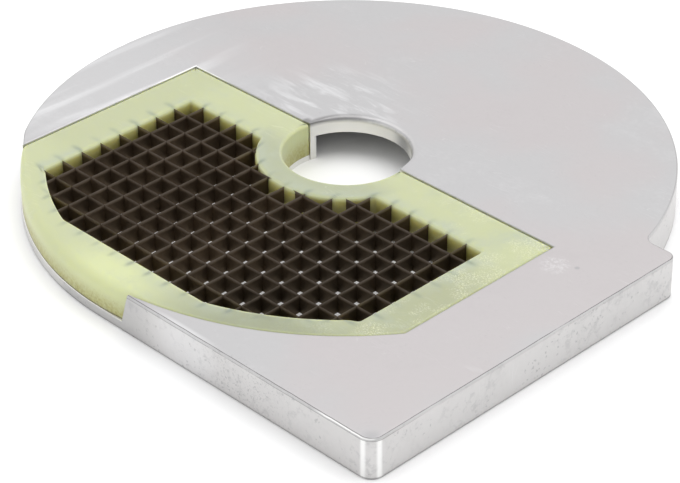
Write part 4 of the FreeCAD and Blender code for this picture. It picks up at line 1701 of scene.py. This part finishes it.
    def build(self, material: bpy.types.Material) -> bpy.types.Object:
        """Makes the casting from its two closed shells.

        Args:
            material: its finish.

        Returns:
            The object that stands for the CAD node.
        """
        band, band_rows = self.band_grid()
        floor, floor_rows = self.floor_grid()
        band_points = band.reshape(-1, 3)
        floor_points = floor.reshape(-1, 3)
        band_faces = outward(band_points, grid_faces(band.shape[0], band.shape[1], False, True))
        floor_faces = outward(floor_points, grid_faces(floor.shape[0], floor.shape[1], True, True))
        points = np.concatenate([band_points, floor_points])
        faces = np.concatenate([band_faces, floor_faces + len(band_points)])
        piece = make_piece("cast_body_skin", points, faces, "cast_body")
        piece.data.materials.append(material)
        for mask, values in band_rows.masks().items():
            first = values[:band.shape[1]]
            store(piece, mask, np.concatenate([first, values, floor_rows.masks()[mask]]))
        close_seams(piece, 42)
        self.flatten_web_ends(piece)
        return piece

    def flatten_web_ends(self, piece: bpy.types.Object) -> None:
        """Shades the two upright ends of the web in the bore flat, as the cut faces that they are.

        Args:
            piece: the casting.
        """
        faces = piece.data.polygons
        middles = np.empty(len(faces) * 3)
        normals = np.empty(len(faces) * 3)
        faces.foreach_get("center", middles)
        faces.foreach_get("normal", normals)
        middles = middles.reshape(-1, 3) / MM
        upright = np.abs(normals.reshape(-1, 3)[:, 2]) < 0.2
        at_bore = np.linalg.norm(middles[:, :2], axis=1) < self.plan.bore_radius + 0.6
        ends = upright & at_bore & (middles[:, 2] < self.plate_bottom) & (middles[:, 1] > 0)
        faces.foreach_set("use_smooth", ~ends)


@dataclass
class Studio:
    """Pale floor, soft lights and the camera at the photograph's angle. Lengths in metres."""

    aim: tuple[float, float, float] = (0.037895, -0.040525, 0.014)
    azimuth: float = -44.508
    elevation: float = 32.569
    distance: float = 0.75269
    roll: float = -0.346
    lens: float = 130.361
    sensor: float = 36.0
    floor_size: float = 6.0
    floor_colour: tuple[float, float, float, float] = (0.95, 0.95, 0.952, 1.0)
    sky_strength: float = 1.10
    overhead_strength: float = 1.0
    overhead_spread: float = 50.0
    dark_side: tuple[float, float, float] = (0.36, -0.36, 0.86)
    dark_share: float = 0.5
    horizon_share: float = 0.5

    def add_camera(self) -> None:
        """Places the camera on a sphere about the aim and turns it by the roll."""
        flat = math.radians(self.azimuth)
        rise = math.radians(self.elevation)
        back = Vector((math.cos(flat) * math.cos(rise), math.sin(flat) * math.cos(rise), math.sin(rise)))
        data = bpy.data.cameras.new("camera")
        data.lens = self.lens
        data.sensor_width = self.sensor
        data.sensor_fit = "HORIZONTAL"
        data.clip_start = 0.01
        data.clip_end = 50.0
        camera = bpy.data.objects.new("camera", data)
        bpy.context.scene.collection.objects.link(camera)
        turn = (-back).to_track_quat("-Z", "Y").to_matrix().to_4x4() @ Matrix.Rotation(math.radians(self.roll), 4, "Z")
        camera.matrix_world = Matrix.Translation(Vector(self.aim) + back * self.distance) @ turn
        bpy.context.scene.camera = camera

    def add_floor(self) -> None:
        steps = 9
        side = np.linspace(-self.floor_size, self.floor_size, steps)
        x, y = np.meshgrid(side, side, indexing="ij")
        points = np.stack([x.ravel(), y.ravel(), np.full(x.size, -0.00002)], 1)
        mesh = bpy.data.meshes.new("floor")
        mesh.from_pydata(points.tolist(), [], grid_faces(steps, steps, False, False).tolist())
        floor = bpy.data.objects.new("floor", mesh)
        bpy.context.scene.collection.objects.link(floor)
        material = bpy.data.materials.new("pale_floor")
        material.use_nodes = True
        wire = Wiring(material.node_tree)
        shader = next(node for node in material.node_tree.nodes if node.type == "BSDF_PRINCIPLED")
        cloud = wire.noise(wire.place(), 3.0, 2.0, 0.5)
        colour = wire.mix(wire.math("MULTIPLY", cloud, 0.02), self.floor_colour, (0.8, 0.8, 0.8, 1.0))
        wire.feed(shader.inputs["Base Color"], colour)
        shader.inputs["Roughness"].default_value = 0.7
        shader.inputs["Specular IOR Level"].default_value = 0.1
        mesh.materials.append(material)

    def add_light(self, name: str, place: tuple[float, float, float], size: float, power: float) -> None:
        """Adds a square soft light that faces the aim.

        Args:
            name: name of the light.
            place: its middle in metres.
            size: its side.
            power: watts.
        """
        data = bpy.data.lights.new(name, "AREA")
        data.shape = "SQUARE"
        data.size = size
        data.energy = power
        light = bpy.data.objects.new(name, data)
        bpy.context.scene.collection.objects.link(light)
        light.location = place
        light.rotation_mode = "QUATERNION"
        light.rotation_quaternion = (Vector(self.aim) - Vector(place)).to_track_quat("-Z", "Y")

    def add_overhead(self) -> None:
        """Adds the wide soft light above, which leans a little to the far right."""
        data = bpy.data.lights.new("overhead_light", "SUN")
        data.energy = self.overhead_strength
        data.angle = math.radians(self.overhead_spread)
        light = bpy.data.objects.new("overhead_light", data)
        bpy.context.scene.collection.objects.link(light)
        light.rotation_mode = "QUATERNION"
        light.rotation_quaternion = Vector((0.0, -0.26, -0.97)).to_track_quat("-Z", "Y")

    def add_sky(self) -> None:
        """Adds the white surroundings, which are darker behind the photographer and along the horizon."""
        world = bpy.data.worlds.new("surroundings")
        world.use_nodes = True
        background = next(node for node in world.node_tree.nodes if node.type == "BACKGROUND")
        wire = Wiring(world.node_tree)
        way = wire.add("ShaderNodeTexCoord").outputs["Generated"]
        towards = wire.add("ShaderNodeVectorMath", operation="DOT_PRODUCT")
        wire.feed(towards.inputs[0], way)
        towards.inputs[1].default_value = self.dark_side
        behind = wire.ramp(towards.outputs["Value"], 0.72, 0.96, 0.0, self.dark_share)
        axes = wire.add("ShaderNodeSeparateXYZ")
        wire.feed(axes.inputs[0], way)
        low = wire.ramp(axes.outputs[2], 0.26, 0.04, 0.0, self.horizon_share)
        kept = wire.math("MULTIPLY", wire.math("SUBTRACT", 1.0, behind), wire.math("SUBTRACT", 1.0, low))
        background.inputs["Color"].default_value = (1.0, 1.0, 1.0, 1.0)
        wire.feed(background.inputs["Strength"], wire.math("MULTIPLY", kept, self.sky_strength))
        bpy.context.scene.world = world

    def build(self) -> None:
        """Builds the whole studio."""
        self.add_camera()
        self.add_floor()
        self.add_sky()
        self.add_overhead()
        self.add_light("left_light", (-1.2, -0.6, 1.5), 1.2, 3.0)
        self.add_light("right_light", (1.3, 0.9, 1.2), 1.2, 1.5)
        settings = bpy.context.scene.view_settings
        settings.view_transform = "Standard"
        settings.look = "None"


def main() -> None:
    """Builds the finishes, the sub-assemblies and the studio in order."""
    logging.basicConfig(level=logging.INFO, format="%(name)s %(message)s")
    effects = Effects()
    aluminium = CastAluminium().build(effects)
    plastic = FramePlastic().build(effects)
    steel = BladeSteel().build(effects)
    plan = GridPlan()
    casting = CastBody(plan).build(aluminium)
    LOG.info("%s has %d faces", casting.name, len(casting.data.polygons))
    moulded = PlasticFrame(plan).build(plastic)
    LOG.info("%s has %d faces", moulded.name, len(moulded.data.polygons))
    LOG.info("%d blade strips dressed", BladeLattice().dress(steel))
    Studio().build()


if __name__ == "__main__":
    main()
